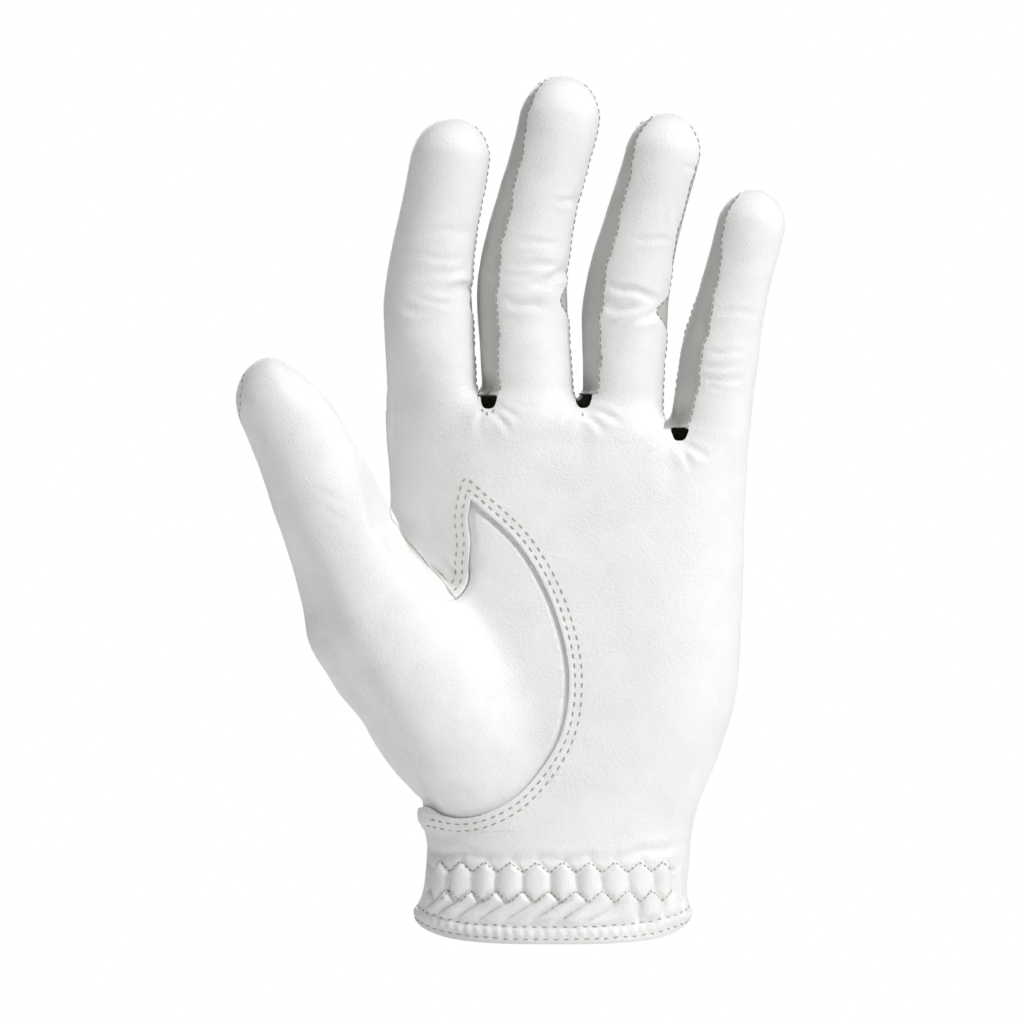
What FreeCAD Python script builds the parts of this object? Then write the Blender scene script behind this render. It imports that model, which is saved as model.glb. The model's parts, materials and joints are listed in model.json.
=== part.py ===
import FreeCAD, Part

import math
import os

from FreeCAD import Vector

# A leather golf glove for the left hand, filled out as a hand fills it.
# Millimetres. The origin is the centre of the wrist opening, +Z points to the fingertips,
# -Y is the palm side, +Y the back of the hand and -X the thumb side.

# Driving dimensions -----------------------------------------------------------------------
LEATHER = 0.8  # the glove's wall
FOLD_GAP = 0.4  # clearance between the two bodies at a fold
HEM_HEIGHT = 4.5  # folded hem round the wrist opening
THICK_OF_WIDTH = 0.87  # a finger's thickness over its width
GUSSET_HALF = (6.0, 5.0, 1.0)  # half height of a side gusset at the root, middle fold and tip
STUB = 9.0  # how far a finger tube runs down into the palm
OVAL_POINTS = 20
SECTION_STEP = 8.0  # spacing of the cross-sections along a finger
FAR = 200.0  # larger than the glove, for cutting blocks

# z, centre x, half width, half thickness and squareness of the hand's cross-sections
PALM = [
    (0.0, 0.0, 34.8, 21.5, 2.0),
    (HEM_HEIGHT, 0.0, 34.6, 21.2, 2.0),
    (19.0, 0.8, 32.2, 19.0, 2.1),
    (33.0, 1.6, 34.4, 18.0, 2.2),
    (58.0, 3.4, 41.4, 16.6, 2.3),
    (85.0, 3.4, 43.8, 15.0, 2.4),
    (110.0, 3.6, 44.2, 13.2, 2.5),
    (136.0, 3.7, 44.9, 10.8, 2.6),
]
# the palm's top edge between the finger roots, (x, z)
CROWN = [(-60.0, 134.2), (5.8, 134.2), (7.0, 130.9), (27.4, 130.3), (28.6, 127.4), (60.0, 123.6)]

# (x, y, z) of the root fold, the middle fold and the fingertip, then their half widths,
# and the sides with a gusset: -1 is the thumb side, 1 the little finger side
FINGERS = {
    "index": {
        "path": [(-30.4, 0.0, 135.0), (-31.3, -1.2, 160.0), (-24.2, -12.5, 204.8)],
        "half_widths": (11.2, 10.9, 9.6),
        "gussets": (1,),
    },
    "middle": {
        "path": [(-6.8, 0.0, 135.0), (-8.0, -1.2, 161.0), (3.3, -13.0, 215.2)],
        "half_widths": (11.5, 11.4, 9.8),
        "gussets": (-1, 1),
    },
    "ring": {
        "path": [(16.9, 0.0, 131.6), (17.8, -1.2, 158.0), (29.4, -12.5, 205.8)],
        "half_widths": (10.1, 10.9, 9.4),
        "gussets": (-1, 1),
    },
    "little": {
        "path": [(38.7, 0.0, 127.2), (41.0, -1.0, 145.5), (50.8, -10.0, 186.8)],
        "half_widths": (10.2, 9.6, 8.3),
        "gussets": (-1,),
    },
}

# centre, half width and half thickness of the thumb, from the heel of the hand to the last
# round section before the tip
THUMB = [
    (Vector(-14.0, -2.0, 32.0), 13.0, 13.0),
    (Vector(-25.5, -6.5, 51.0), 19.5, 16.0),
    (Vector(-36.5, -10.5, 67.0), 18.8, 15.5),
    (Vector(-45.0, -15.0, 81.0), 16.2, 12.6),
    (Vector(-51.5, -17.3, 97.0), 14.0, 11.8),
    (Vector(-57.8, -19.5, 112.5), 12.6, 11.0),
]
THUMB_ROOT, THUMB_MIDDLE = 3, 5  # the sections where the thumb folds
THUMB_TIP = Vector(-72.6, -26.0, 144.8)
THUMB_TIP_HALF_WIDTH = 10.6

# The thumb piece is set into the palm along this seam: a straight edge up from the crotch to
# a peak, then a long curve down to the heel, (x, z)
SEAM_CROTCH = (-24.5, 85.5)
SEAM_PEAK = (-20.6, 110.2)
SEAM_CURVE = [(-3.0, 89.5), (3.7, 64.0), (-0.7, 46.0), (-11.5, 35.2)]
SEAM_HEEL = (-31.5, 32.2)
SEAM_LAST = (-22.0, 31.4)

# Closure on the back of the wrist
SLIT_X, SLIT_HALF, SLIT_TOP = 2.0, 1.75, 60.0
BINDING_WIDTH, BINDING_THICK = 2.5, 0.6
TAB_ROOT_X, TAB_END_X = -10.0, 29.0
TAB_LOW, TAB_HIGH, TAB_ROUND = 13.5, 40.5, 9.0
ANCHOR_WIDTH, ANCHOR_THICK = 8.0, 1.0
LOOP_THICK, HOOK_THICK, HOOK_GAP = 0.5, 0.6, 0.3
TAB_LINING, TAB_LEATHER = 0.4, 0.7
PATCH_LOW_X, PATCH_INSET = 8.0, 2.2

# Inside the cuff
ELASTIC_LOW, ELASTIC_HIGH, ELASTIC_THICK = 10.2, 22.2, 0.9
ELASTIC_LEFT, ELASTIC_RIGHT = -27.0, 28.0
LABEL_LEFT, LABEL_WIDTH, LABEL_LOW, LABEL_HIGH, LABEL_THICK = -24.0, 14.0, 6.0, 24.0, 0.3

# Threads, proud of the leather
THREAD_RISE, THREAD_WIDTH = 0.35, 0.45
HEM_ROWS = (1.3, 3.6)
ZIGZAG_ROWS = (12.8, 19.9)  # over the elastic
ZIGZAG_PITCH, ZIGZAG_HEIGHT, ZIGZAG_TURNS = 6.2, 2.6, 8
THUMB_SEAM_ROWS = (1.5, 3.2)  # distance outside the thumb piece's edge
EDGE_ROW = 1.2  # distance of the binding's and the tab's stitching from their edges

# Small openings left in the palm at the foot of each gusset, (x, z)
VENTS = [(-17.6, 131.9), (6.0, 131.7), (28.0, 126.0)]
VENT_HALF = (2.0, 1.6)

X, Y, Z = Vector(1, 0, 0), Vector(0, 1, 0), Vector(0, 0, 1)


# Helpers ----------------------------------------------------------------------------------
def oval(centre, across, back, half_width, half_thick, squareness=2.1):
    """A closed smooth wire: an ellipse, or squarer than one where squareness is over 2."""
    points = []
    for k in range(OVAL_POINTS):
        angle = 2 * math.pi * k / OVAL_POINTS
        c, s = math.cos(angle), math.sin(angle)
        out = math.copysign(abs(c) ** (2 / squareness), c) * half_width
        up = math.copysign(abs(s) ** (2 / squareness), s) * half_thick
        points.append(centre + across * out + back * up)
    curve = Part.BSplineCurve()
    curve.interpolate(Points=points, PeriodicFlag=True)
    return Part.Wire(curve.toShape())


def eased(keys, values, key):
    """The value at key on a smooth curve through (keys, values) that never overshoots."""
    gaps = [b - a for a, b in zip(keys, keys[1:])]
    rises = [(b - a) / gap for a, b, gap in zip(values, values[1:], gaps)]
    slopes = [2 * p * q / (p + q) if p * q > 0 else 0.0 for p, q in zip(rises, rises[1:])]
    slopes = [rises[0], *slopes, rises[-1]]
    k = max(i for i in range(len(gaps)) if i == 0 or keys[i] <= key)
    t = (key - keys[k]) / gaps[k]
    start = (2 * t**3 - 3 * t**2 + 1) * values[k] + (t**3 - 2 * t**2 + t) * gaps[k] * slopes[k]
    end = (3 * t**2 - 2 * t**3) * values[k + 1] + (t**3 - t**2) * gaps[k] * slopes[k + 1]
    return start + end


def evenly(keys, rows, count):
    """Rows of numbers given at keys, eased to count rows evenly spaced from first to last."""
    spots = [keys[0] + (keys[-1] - keys[0]) * k / (count - 1) for k in range(count)]
    columns = list(zip(*rows))
    return [[eased(keys, column, spot) for column in columns] for spot in spots]


def frame_at(origin, along):
    """(origin, across, back, along) with across in the plane of the palm."""
    along = Vector(along).normalize()
    across = Vector(along.z, 0, -along.x).normalize()
    return origin, across, along.cross(across), along


def block(frame, across=(-FAR, FAR), back=(-FAR, FAR), along=(-FAR, FAR)):
    """A box in a frame, between limits along each of its directions."""
    origin, a, b, c = frame
    box = Part.makeBox(across[1] - across[0], back[1] - back[0], along[1] - along[0])
    corner = origin + a * across[0] + b * back[0] + c * along[0]
    turn = FreeCAD.Matrix(a.x, b.x, c.x, corner.x, a.y, b.y, c.y, corner.y, a.z, b.z, c.z, corner.z)
    box.Placement = FreeCAD.Placement(turn)
    return box


def at(x_z, y=0.0):
    return Vector(x_z[0], y, x_z[1])


def prism(edges_or_points, y_low=-FAR, y_high=FAR):
    """An outline in the XZ plane, as corner points or as edges, extruded along Y."""
    if isinstance(edges_or_points[0], tuple):
        corners = [at(p) for p in edges_or_points]
        wire = Part.makePolygon(corners + corners[:1])
    else:
        wire = Part.Wire(edges_or_points)
    face = Part.Face(wire)
    face.translate(Y * y_low)
    return face.extrude(Y * (y_high - y_low))


def grouped(solids):
    return solids[0] if len(solids) == 1 else Part.makeCompound(solids)


def export(name, shape):
    solids = [s for s in shape.Solids if s.Volume > 0.5]
    for s in solids:
        if not s.isValid():
            raise RuntimeError(name + " has a solid that is not valid")
    grouped(solids).exportStep("parts/" + name + ".step")
    print(f"{name:32s} solids {len(solids)}  volume {sum(s.Volume for s in solids):9.1f}")


# Hollow forms -----------------------------------------------------------------------------
def palm_form(grow=0.0):
    """The hand's solid form from the wrist to the finger roots, offset by grow."""
    wires = [
        oval(Vector(x, 0, z), X, Y, half_w + grow, half_t + grow, squareness)
        for z, x, half_w, half_t, squareness in evenly([row[0] for row in PALM], PALM, 11)
    ]
    crown = [(x, z + grow) for x, z in CROWN]
    below_crown = prism([(-FAR / 2, -1.0), *crown, (FAR / 2, -1.0)])
    return Part.makeLoft(wires, True, False).common(below_crown)


def domed_tube(stations, tip, tip_half_width, grow):
    """A tube through stations of (centre, half width, half thickness), closed by a dome."""
    _, last_w, last_t = stations[-1]
    dome = tip_half_width * 1.05
    tip_half_thick = tip_half_width * last_t / last_w
    along = (tip - stations[-1][0]).normalize()
    neck = tip - along * dome
    stations = [*stations, (neck, tip_half_width, tip_half_thick)]
    keys = [0.0]
    for (a, _, _), (b, _, _) in zip(stations, stations[1:]):
        keys.append(keys[-1] + (b - a).Length)
    rows = [(c.x, c.y, c.z, half_w, half_t) for c, half_w, half_t in stations]
    rows = evenly(keys, rows, round(keys[-1] / SECTION_STEP) + 1)
    centres = [Vector(*row[:3]) for row in rows]
    wires = []
    for k, (_, _, _, half_w, half_t) in enumerate(rows):
        ahead = centres[k + 1] if k + 1 < len(rows) else neck + along
        behind = centres[max(0, k - 1)] if k + 1 < len(rows) else neck
        _, across, back, _ = frame_at(centres[k], ahead - behind)
        wires.append(oval(centres[k], across, back, half_w + grow, half_t + grow))
    _, across, back, _ = frame_at(neck, along)
    for angle in (30, 54, 74):
        shrink = math.cos(math.radians(angle))
        centre = neck + along * (dome + grow) * math.sin(math.radians(angle))
        half_w, half_t = tip_half_width + grow, tip_half_thick + grow
        wires.append(oval(centre, across, back, half_w * shrink, half_t * shrink))
    return Part.makeLoft(wires, True, False)


def finger_form(finger, grow=0.0):
    root, middle, tip = [Vector(*p) for p in finger["path"]]
    width_root, width_middle, width_tip = finger["half_widths"]
    down = (root - middle).normalize() * STUB
    stations = [
        (root + down, width_root, width_root * THICK_OF_WIDTH),
        (root, width_root, width_root * THICK_OF_WIDTH),
        (middle, width_middle, width_middle * THICK_OF_WIDTH),
    ]
    return domed_tube(stations, tip, width_tip, grow)


def thumb_form(grow=0.0):
    return domed_tube(THUMB, THUMB_TIP, THUMB_TIP_HALF_WIDTH, grow)


def finger_frames(finger):
    """Frames at the root fold and at the middle fold."""
    root, middle, tip = [Vector(*p) for p in finger["path"]]
    return frame_at(root, middle - root), frame_at(middle, tip - root)


def thumb_frames():
    root, middle = THUMB[THUMB_ROOT][0], THUMB[THUMB_MIDDLE][0]
    return frame_at(root, middle - root), frame_at(middle, THUMB_TIP - root)


# Fingers and thumb ------------------------------------------------------------------------
def gusset_wedge(frame, side, half_low, half_high, length):
    """The tapering band along one side of a finger that a gusset covers."""
    origin, across, back, along = frame
    corners = [
        origin - along * STUB - back * half_low,
        origin - along * STUB + back * half_low,
        origin + along * length + back * half_high,
        origin + along * length - back * half_high,
    ]
    face = Part.Face(Part.makePolygon(corners + corners[:1]))
    return face.extrude(across * side * FAR)


def split_segment(name, segment, frame, wedges):
    """Cuts one segment's tube into its palm side, back side and gussets, and writes them."""
    covered = segment
    for side, wedge in wedges:
        label = "thumbside" if side < 0 else "outer"
        export(name + "_" + label + "_gusset", segment.common(wedge))
        covered = covered.cut(wedge)
    export(name + "_palm_side", covered.common(block(frame, back=(-FAR, 0))))
    export(name + "_back_side", covered.common(block(frame, back=(0, FAR))))


def build_finger(name, finger):
    shell = finger_form(finger).cut(finger_form(finger, -LEATHER))
    lower_frame, upper_frame = finger_frames(finger)
    root, middle, tip = [Vector(*p) for p in finger["path"]]
    half = FOLD_GAP / 2
    above_root = block(lower_frame, along=(half, FAR))
    lower = shell.common(above_root).common(block(upper_frame, along=(-FAR, -half)))
    upper = shell.common(block(upper_frame, along=(half, FAR)))
    upper_axis = frame_at(middle, tip - middle)
    for label, part, frame, limits, length in (
        ("lower", lower, lower_frame, GUSSET_HALF[:2], (middle - root).Length + STUB),
        ("upper", upper, upper_axis, GUSSET_HALF[1:], (tip - middle).Length + 1),
    ):
        wedges = [(s, gusset_wedge(frame, s, *limits, length)) for s in finger["gussets"]]
        split_segment(f"{name}_{label}", part, frame, wedges)


def build_thumb():
    shell = thumb_form().cut(thumb_form(-LEATHER))
    root_frame, middle_frame = thumb_frames()
    half = FOLD_GAP / 2
    lower = shell.common(block(root_frame, along=(half, FAR)))
    lower = lower.common(block(middle_frame, along=(-FAR, -half))).cut(palm_form(FOLD_GAP))
    upper = shell.common(block(middle_frame, along=(half, FAR)))
    upper_axis = frame_at(middle_frame[0], THUMB_TIP - middle_frame[0])
    split_segment("thumb_lower", lower, root_frame, [])
    split_segment("thumb_upper", upper, upper_axis, [])


# Hand -------------------------------------------------------------------------------------
def hand_form(grow, past_fold):
    """The palm with the thumb's ball and a stub of each finger, up to past_fold beyond each
    fold line."""
    form = palm_form(grow)
    for finger in FINGERS.values():
        below = block(finger_frames(finger)[0], along=(-FAR, past_fold))
        form = form.fuse(finger_form(finger, grow).common(below))
    below = block(thumb_frames()[0], along=(-FAR, past_fold))
    return form.fuse(thumb_form(grow).common(below))


def thumb_seam_curve():
    """The thumb piece's long curved edge, from its peak down to the heel of the hand."""
    curve = Part.BSplineCurve()
    curve.interpolate([at(p) for p in (SEAM_PEAK, *SEAM_CURVE, SEAM_LAST, SEAM_HEEL)])
    return curve


def thumb_seam_outline():
    """The edges of the area that the thumb piece covers, seen from the palm side."""
    curve = thumb_seam_curve()
    left_low, left_high = (-FAR / 2, SEAM_HEEL[1] + 2), (-FAR / 2, SEAM_CROTCH[1] + 12)
    corners = [SEAM_HEEL, left_low, left_high, SEAM_CROTCH, SEAM_PEAK]
    lines = [Part.LineSegment(at(a), at(b)).toShape() for a, b in zip(corners, corners[1:])]
    return [curve.toShape(), *lines]


def slit_outline(margin):
    """The back slit, grown by margin: straight sides and a round top."""
    half = SLIT_HALF + margin
    left, right, top = SLIT_X - half, SLIT_X + half, SLIT_TOP - SLIT_HALF
    arc = Part.Arc(at((right, top)), at((SLIT_X, top + half)), at((left, top)))
    corners = [(left, top), (left, -1.0), (right, -1.0), (right, top)]
    lines = [Part.LineSegment(at(a), at(b)).toShape() for a, b in zip(corners, corners[1:])]
    return [arc.toShape(), *lines]


def tab_outline(inset=0.0, left=TAB_ROOT_X):
    """The closure tab seen from the back: square at its root, rounded at its free end."""
    low, high, right = TAB_LOW + inset, TAB_HIGH - inset, TAB_END_X - inset
    r = TAB_ROUND - inset
    diagonal = r * math.sqrt(0.5)
    arc_low = Part.Arc(
        at((right - r, low)), at((right - r + diagonal, low + r - diagonal)), at((right, low + r))
    )
    arc_high = Part.Arc(
        at((right, high - r)), at((right - r + diagonal, high - r + diagonal)), at((right - r, high))
    )
    corners = [(right - r, high), (left, high), (left, low), (right - r, low)]
    lines = [Part.LineSegment(at(a), at(b)).toShape() for a, b in zip(corners, corners[1:])]
    side = Part.LineSegment(at((right, low + r)), at((right, high - r))).toShape()
    return [arc_low.toShape(), side, arc_high.toShape(), *lines]


def layer(inner, outer):
    """The space between two offsets of the hand's form."""
    return palm_form(outer).cut(palm_form(inner))


def build_hand():
    shell = hand_form(0.0, -FOLD_GAP / 2).cut(hand_form(-LEATHER, FOLD_GAP))
    shell = shell.cut(prism(slit_outline(0.0), 0.0, FAR))
    for x, z in VENTS:
        hole = Part.Ellipse(Vector(x, 0, z), *VENT_HALF)
        hole.Axis = Y
        shell = shell.cut(Part.Face(Part.Wire(hole.toShape())).extrude(Y * -FAR))
    world = (Vector(0, 0, 0), X, Y, Z)
    hem = shell.common(block(world, along=(-1.0, HEM_HEIGHT)))
    body = shell.common(block(world, along=(HEM_HEIGHT, FAR)))
    thumb_area = prism(thumb_seam_outline(), -FAR, 0.0)
    export("cuff_hem", hem)
    export("thumb_base_panel", body.common(thumb_area))
    export("palm_panel", body.common(block(world, back=(-FAR, 0))).cut(thumb_area))
    export("back_panel", body.common(block(world, back=(0, FAR))))


def build_cuff_fittings():
    world = (Vector(0, 0, 0), X, Y, Z)
    lining = layer(-LEATHER - ELASTIC_THICK, -LEATHER)
    band = block(
        world,
        across=(ELASTIC_LEFT, ELASTIC_RIGHT),
        back=(-FAR, 0),
        along=(ELASTIC_LOW, ELASTIC_HIGH),
    )
    export("wrist_elastic", lining.common(band))
    label = block(
        world,
        across=(LABEL_LEFT, LABEL_LEFT + LABEL_WIDTH),
        back=(0, FAR),
        along=(LABEL_LOW, LABEL_HIGH),
    )
    export("care_label", layer(-LEATHER - LABEL_THICK, -LEATHER).common(label))
    binding = prism(slit_outline(BINDING_WIDTH), 0, FAR).cut(prism(slit_outline(0.0), 0, FAR))
    above_hem = block(world, along=(0.0, FAR))
    export("slit_binding", layer(0, BINDING_THICK).common(binding).common(above_hem))


def build_closure():
    world = (Vector(0, 0, 0), X, Y, Z)
    anchor = block(
        world,
        across=(TAB_ROOT_X - ANCHOR_WIDTH, TAB_ROOT_X - FOLD_GAP),
        back=(0, FAR),
        along=(TAB_LOW, TAB_HIGH),
    )
    export("tab_anchor", layer(0, ANCHOR_THICK).common(anchor))
    patch = prism(tab_outline(PATCH_INSET, PATCH_LOW_X), 0, FAR)
    tab = prism(tab_outline(), 0, FAR)
    hook_low = LOOP_THICK + HOOK_GAP
    lining_low = hook_low + HOOK_THICK
    leather_low = lining_low + TAB_LINING
    export("loop_patch", layer(0, LOOP_THICK).common(patch))
    export("hook_patch", layer(hook_low, lining_low).common(patch))
    export("closure_tab_lining", layer(lining_low, leather_low).common(tab))
    export("closure_tab", layer(leather_low, leather_low + TAB_LEATHER).common(tab))


# Threads ----------------------------------------------------------------------------------
def band_along(points):
    """An outline THREAD_WIDTH wide along a row of (point, unit normal) pairs."""
    half = THREAD_WIDTH / 2
    upper = [p + n * half for p, n in points]
    lower = [p - n * half for p, n in reversed(points)]
    return [(v.x, v.z) for v in upper + lower]


def zigzag_row(z):
    """A row of zigzag stitches at height z, centred on the elastic."""
    start = (ELASTIC_LEFT + ELASTIC_RIGHT - ZIGZAG_PITCH * ZIGZAG_TURNS) / 2
    points = []
    for k in range(2 * ZIGZAG_TURNS + 1):
        rise = ZIGZAG_HEIGHT / 2 * (-1) ** k
        points.append((Vector(start + k * ZIGZAG_PITCH / 2, 0, z + rise), Z))
    return prism(band_along(points), -FAR, 0)


def thumb_seam_row(distance):
    """A row of stitches outside the thumb piece's curved edge."""
    curve = thumb_seam_curve()
    first, last = curve.FirstParameter, curve.LastParameter
    points = []
    for k in range(25):
        spot = first + (last - first) * (0.04 + 0.88 * k / 24)
        along = curve.tangent(spot)[0]
        outward = Vector(-along.z, 0, along.x)
        points.append((curve.value(spot) + outward * distance, outward))
    return prism(band_along(points), -FAR, 0)


def build_threads():
    world = (Vector(0, 0, 0), X, Y, Z)
    half = THREAD_WIDTH / 2
    proud = layer(0, THREAD_RISE)
    slit = prism(slit_outline(0.0), 0, FAR)
    rows = [proud.common(block(world, along=(z - half, z + half))) for z in HEM_ROWS]
    binding_area = prism(slit_outline(BINDING_WIDTH + 0.1), 0, FAR)
    export("hem_thread", Part.makeCompound(rows).cut(binding_area).cut(slit))
    export("zigzag_thread", Part.makeCompound([proud.common(zigzag_row(z)) for z in ZIGZAG_ROWS]))
    seam_proud = hand_form(THREAD_RISE, -FOLD_GAP).cut(hand_form(0.0, FOLD_GAP))
    rows = [seam_proud.common(thumb_seam_row(d)) for d in THUMB_SEAM_ROWS]
    export("thumb_seam_thread", Part.makeCompound(rows))
    ring = prism(slit_outline(EDGE_ROW + THREAD_WIDTH), 0, FAR)
    ring = ring.cut(prism(slit_outline(EDGE_ROW), 0, FAR)).common(block(world, along=(0.0, FAR)))
    export("binding_thread", layer(BINDING_THICK, BINDING_THICK + THREAD_RISE).common(ring))
    outside = LOOP_THICK + HOOK_GAP + HOOK_THICK + TAB_LINING + TAB_LEATHER
    inner_left = TAB_ROOT_X + EDGE_ROW
    ring = prism(tab_outline(EDGE_ROW, inner_left), 0, FAR)
    ring = ring.cut(
        prism(tab_outline(EDGE_ROW + THREAD_WIDTH, inner_left + THREAD_WIDTH), 0, FAR)
    )
    export("tab_thread", layer(outside, outside + THREAD_RISE).common(ring))


def print_folds():
    """The hinge of each fold: on the palm-side surface, across the finger."""
    for name, finger in FINGERS.items():
        root_frame, middle_frame = finger_frames(finger)
        for label, frame, half_w in (
            ("root", root_frame, finger["half_widths"][0]),
            ("middle", middle_frame, finger["half_widths"][1]),
        ):
            origin, across, back, _ = frame
            point = origin - back * half_w * THICK_OF_WIDTH
            print(f"fold {name}_{label} at {tuple(point)} axis {tuple(across)}")
    for label, frame, k in zip(("root", "middle"), thumb_frames(), (THUMB_ROOT, THUMB_MIDDLE)):
        origin, across, back, _ = frame
        point = origin - back * THUMB[k][2]
        print(f"fold thumb_{label} at {tuple(point)} axis {tuple(across)}")


os.makedirs("parts", exist_ok=True)
build_hand()
build_cuff_fittings()
build_closure()
build_threads()
for name, finger in FINGERS.items():
    build_finger(name, finger)
build_thumb()
print_folds()
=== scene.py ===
import json
import math

import bmesh
import bpy
import numpy as np
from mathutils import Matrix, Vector
from mathutils.bvhtree import BVHTree


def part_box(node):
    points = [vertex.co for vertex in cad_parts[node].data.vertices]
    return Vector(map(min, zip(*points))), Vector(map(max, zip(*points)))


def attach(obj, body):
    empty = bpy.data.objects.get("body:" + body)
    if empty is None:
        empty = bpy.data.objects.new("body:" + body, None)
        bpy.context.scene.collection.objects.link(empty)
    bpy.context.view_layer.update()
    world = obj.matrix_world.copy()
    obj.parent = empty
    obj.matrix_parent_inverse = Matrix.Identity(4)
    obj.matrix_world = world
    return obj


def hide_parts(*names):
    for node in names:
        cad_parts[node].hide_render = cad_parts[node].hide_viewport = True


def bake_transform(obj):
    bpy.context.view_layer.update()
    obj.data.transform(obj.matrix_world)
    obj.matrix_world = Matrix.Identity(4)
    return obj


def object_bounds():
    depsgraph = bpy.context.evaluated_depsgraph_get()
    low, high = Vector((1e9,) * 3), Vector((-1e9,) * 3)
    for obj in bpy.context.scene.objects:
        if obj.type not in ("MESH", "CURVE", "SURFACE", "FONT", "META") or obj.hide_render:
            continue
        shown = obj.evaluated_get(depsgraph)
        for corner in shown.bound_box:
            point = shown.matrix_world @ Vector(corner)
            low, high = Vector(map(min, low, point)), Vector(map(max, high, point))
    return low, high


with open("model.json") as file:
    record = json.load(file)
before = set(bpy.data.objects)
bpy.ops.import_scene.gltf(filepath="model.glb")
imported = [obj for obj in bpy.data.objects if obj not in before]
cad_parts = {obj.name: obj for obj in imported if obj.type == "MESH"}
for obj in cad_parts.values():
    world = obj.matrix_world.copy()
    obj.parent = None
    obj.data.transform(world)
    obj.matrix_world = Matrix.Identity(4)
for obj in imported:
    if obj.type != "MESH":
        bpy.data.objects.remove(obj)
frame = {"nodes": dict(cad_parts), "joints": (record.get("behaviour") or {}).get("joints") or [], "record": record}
CAD_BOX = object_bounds()

# A white leather golf glove. Lengths here are millimetres in the frame's own axes: +Z to the
# fingertips, -Y the palm side, -X the thumb side. Meshes are written in metres.

GRID = 0.7  # spacing of the skin's mesh
CUFF_GRID = 0.5  # and below CUFF_TOP, where the gathers are
CUFF_TOP = 28.0
LEATHER = 0.75
THREAD = 0.17  # thread radius
EDGE = 0.4  # how far inside a panel's edge its rounding starts
FINGERS = ("index", "middle", "ring", "little")
GUSSETS = {"index": (1,), "middle": (-1, 1), "ring": (-1, 1), "little": (-1,)}
JOINTS = {j["name"]: j for j in frame["joints"]}
UP, BACK = np.array([0, 0, 1.0]), np.array([0, 1.0, 0])


# Small numeric helpers --------------------------------------------------------------------
def unit(v):
    return np.asarray(v, float) / np.linalg.norm(v)


def ramp(x, low, high):
    """0 below low, 1 above high, and smooth between."""
    t = np.clip((np.asarray(x, float) - low) / (high - low), 0, 1)
    return t * t * (3 - 2 * t)


def bell(x, width=1.0):
    return np.exp(-((x / width) ** 2))


def soft_min(a, b, k):
    h = np.clip(0.5 + 0.5 * (b - a) / k, 0, 1)
    return b + (a - b) * h - k * h * (1 - h)


def soft_max(a, b, k):
    return -soft_min(-a, -b, k)


def smooth_curve(keys, values):
    """A function through values at keys with a continuous slope, flat beyond the ends."""
    keys, values = np.asarray(keys, float), np.asarray(values, float)
    slopes = np.gradient(values, keys)

    def at(x):
        x = np.clip(x, keys[0], keys[-1])
        k = np.clip(np.searchsorted(keys, x) - 1, 0, len(keys) - 2)
        gap = keys[k + 1] - keys[k]
        t = (x - keys[k]) / gap
        start = (2 * t**3 - 3 * t**2 + 1) * values[k] + (t**3 - 2 * t**2 + t) * gap * slopes[k]
        end = (3 * t**2 - 2 * t**3) * values[k + 1] + (t**3 - t**2) * gap * slopes[k + 1]
        return start + end

    return at


def ripple(p, size, seed):
    """Smooth irregular waves between about -1 and 1, with features of about the given size."""
    rng = np.random.default_rng(seed)
    total = 0
    for _ in range(7):
        way = unit(rng.normal(size=3)) * rng.uniform(0.7, 1.4) * 2 * math.pi / (size * 2)
        total = total + np.sin(p @ way + rng.uniform(0, 2 * math.pi))
    return total / 3.5


# Measuring the frame ----------------------------------------------------------------------
def cad_arrays(name):
    mesh = frame["nodes"][name].data
    points = np.empty(len(mesh.vertices) * 3)
    mesh.vertices.foreach_get("co", points)
    edges = np.empty(len(mesh.edges) * 2, np.int32)
    mesh.edges.foreach_get("vertices", edges)
    return points.reshape(-1, 3) * 1000, edges.reshape(-1, 2)


def cut_points(names, point, normal):
    """Where a plane crosses the named CAD nodes."""
    found = []
    for name in names:
        points, edges = cad_arrays(name)
        side = (points - point) @ normal
        a, b = side[edges[:, 0]], side[edges[:, 1]]
        hit = a * b < 0
        t = (a[hit] / (a[hit] - b[hit]))[:, None]
        found.append(points[edges[hit, 0]] * (1 - t) + points[edges[hit, 1]] * t)
    return np.vstack(found)


def joint_place(name):
    joint = JOINTS[name]
    return np.array(joint["pos_m"]) * 1000, unit(joint["axis"])


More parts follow.
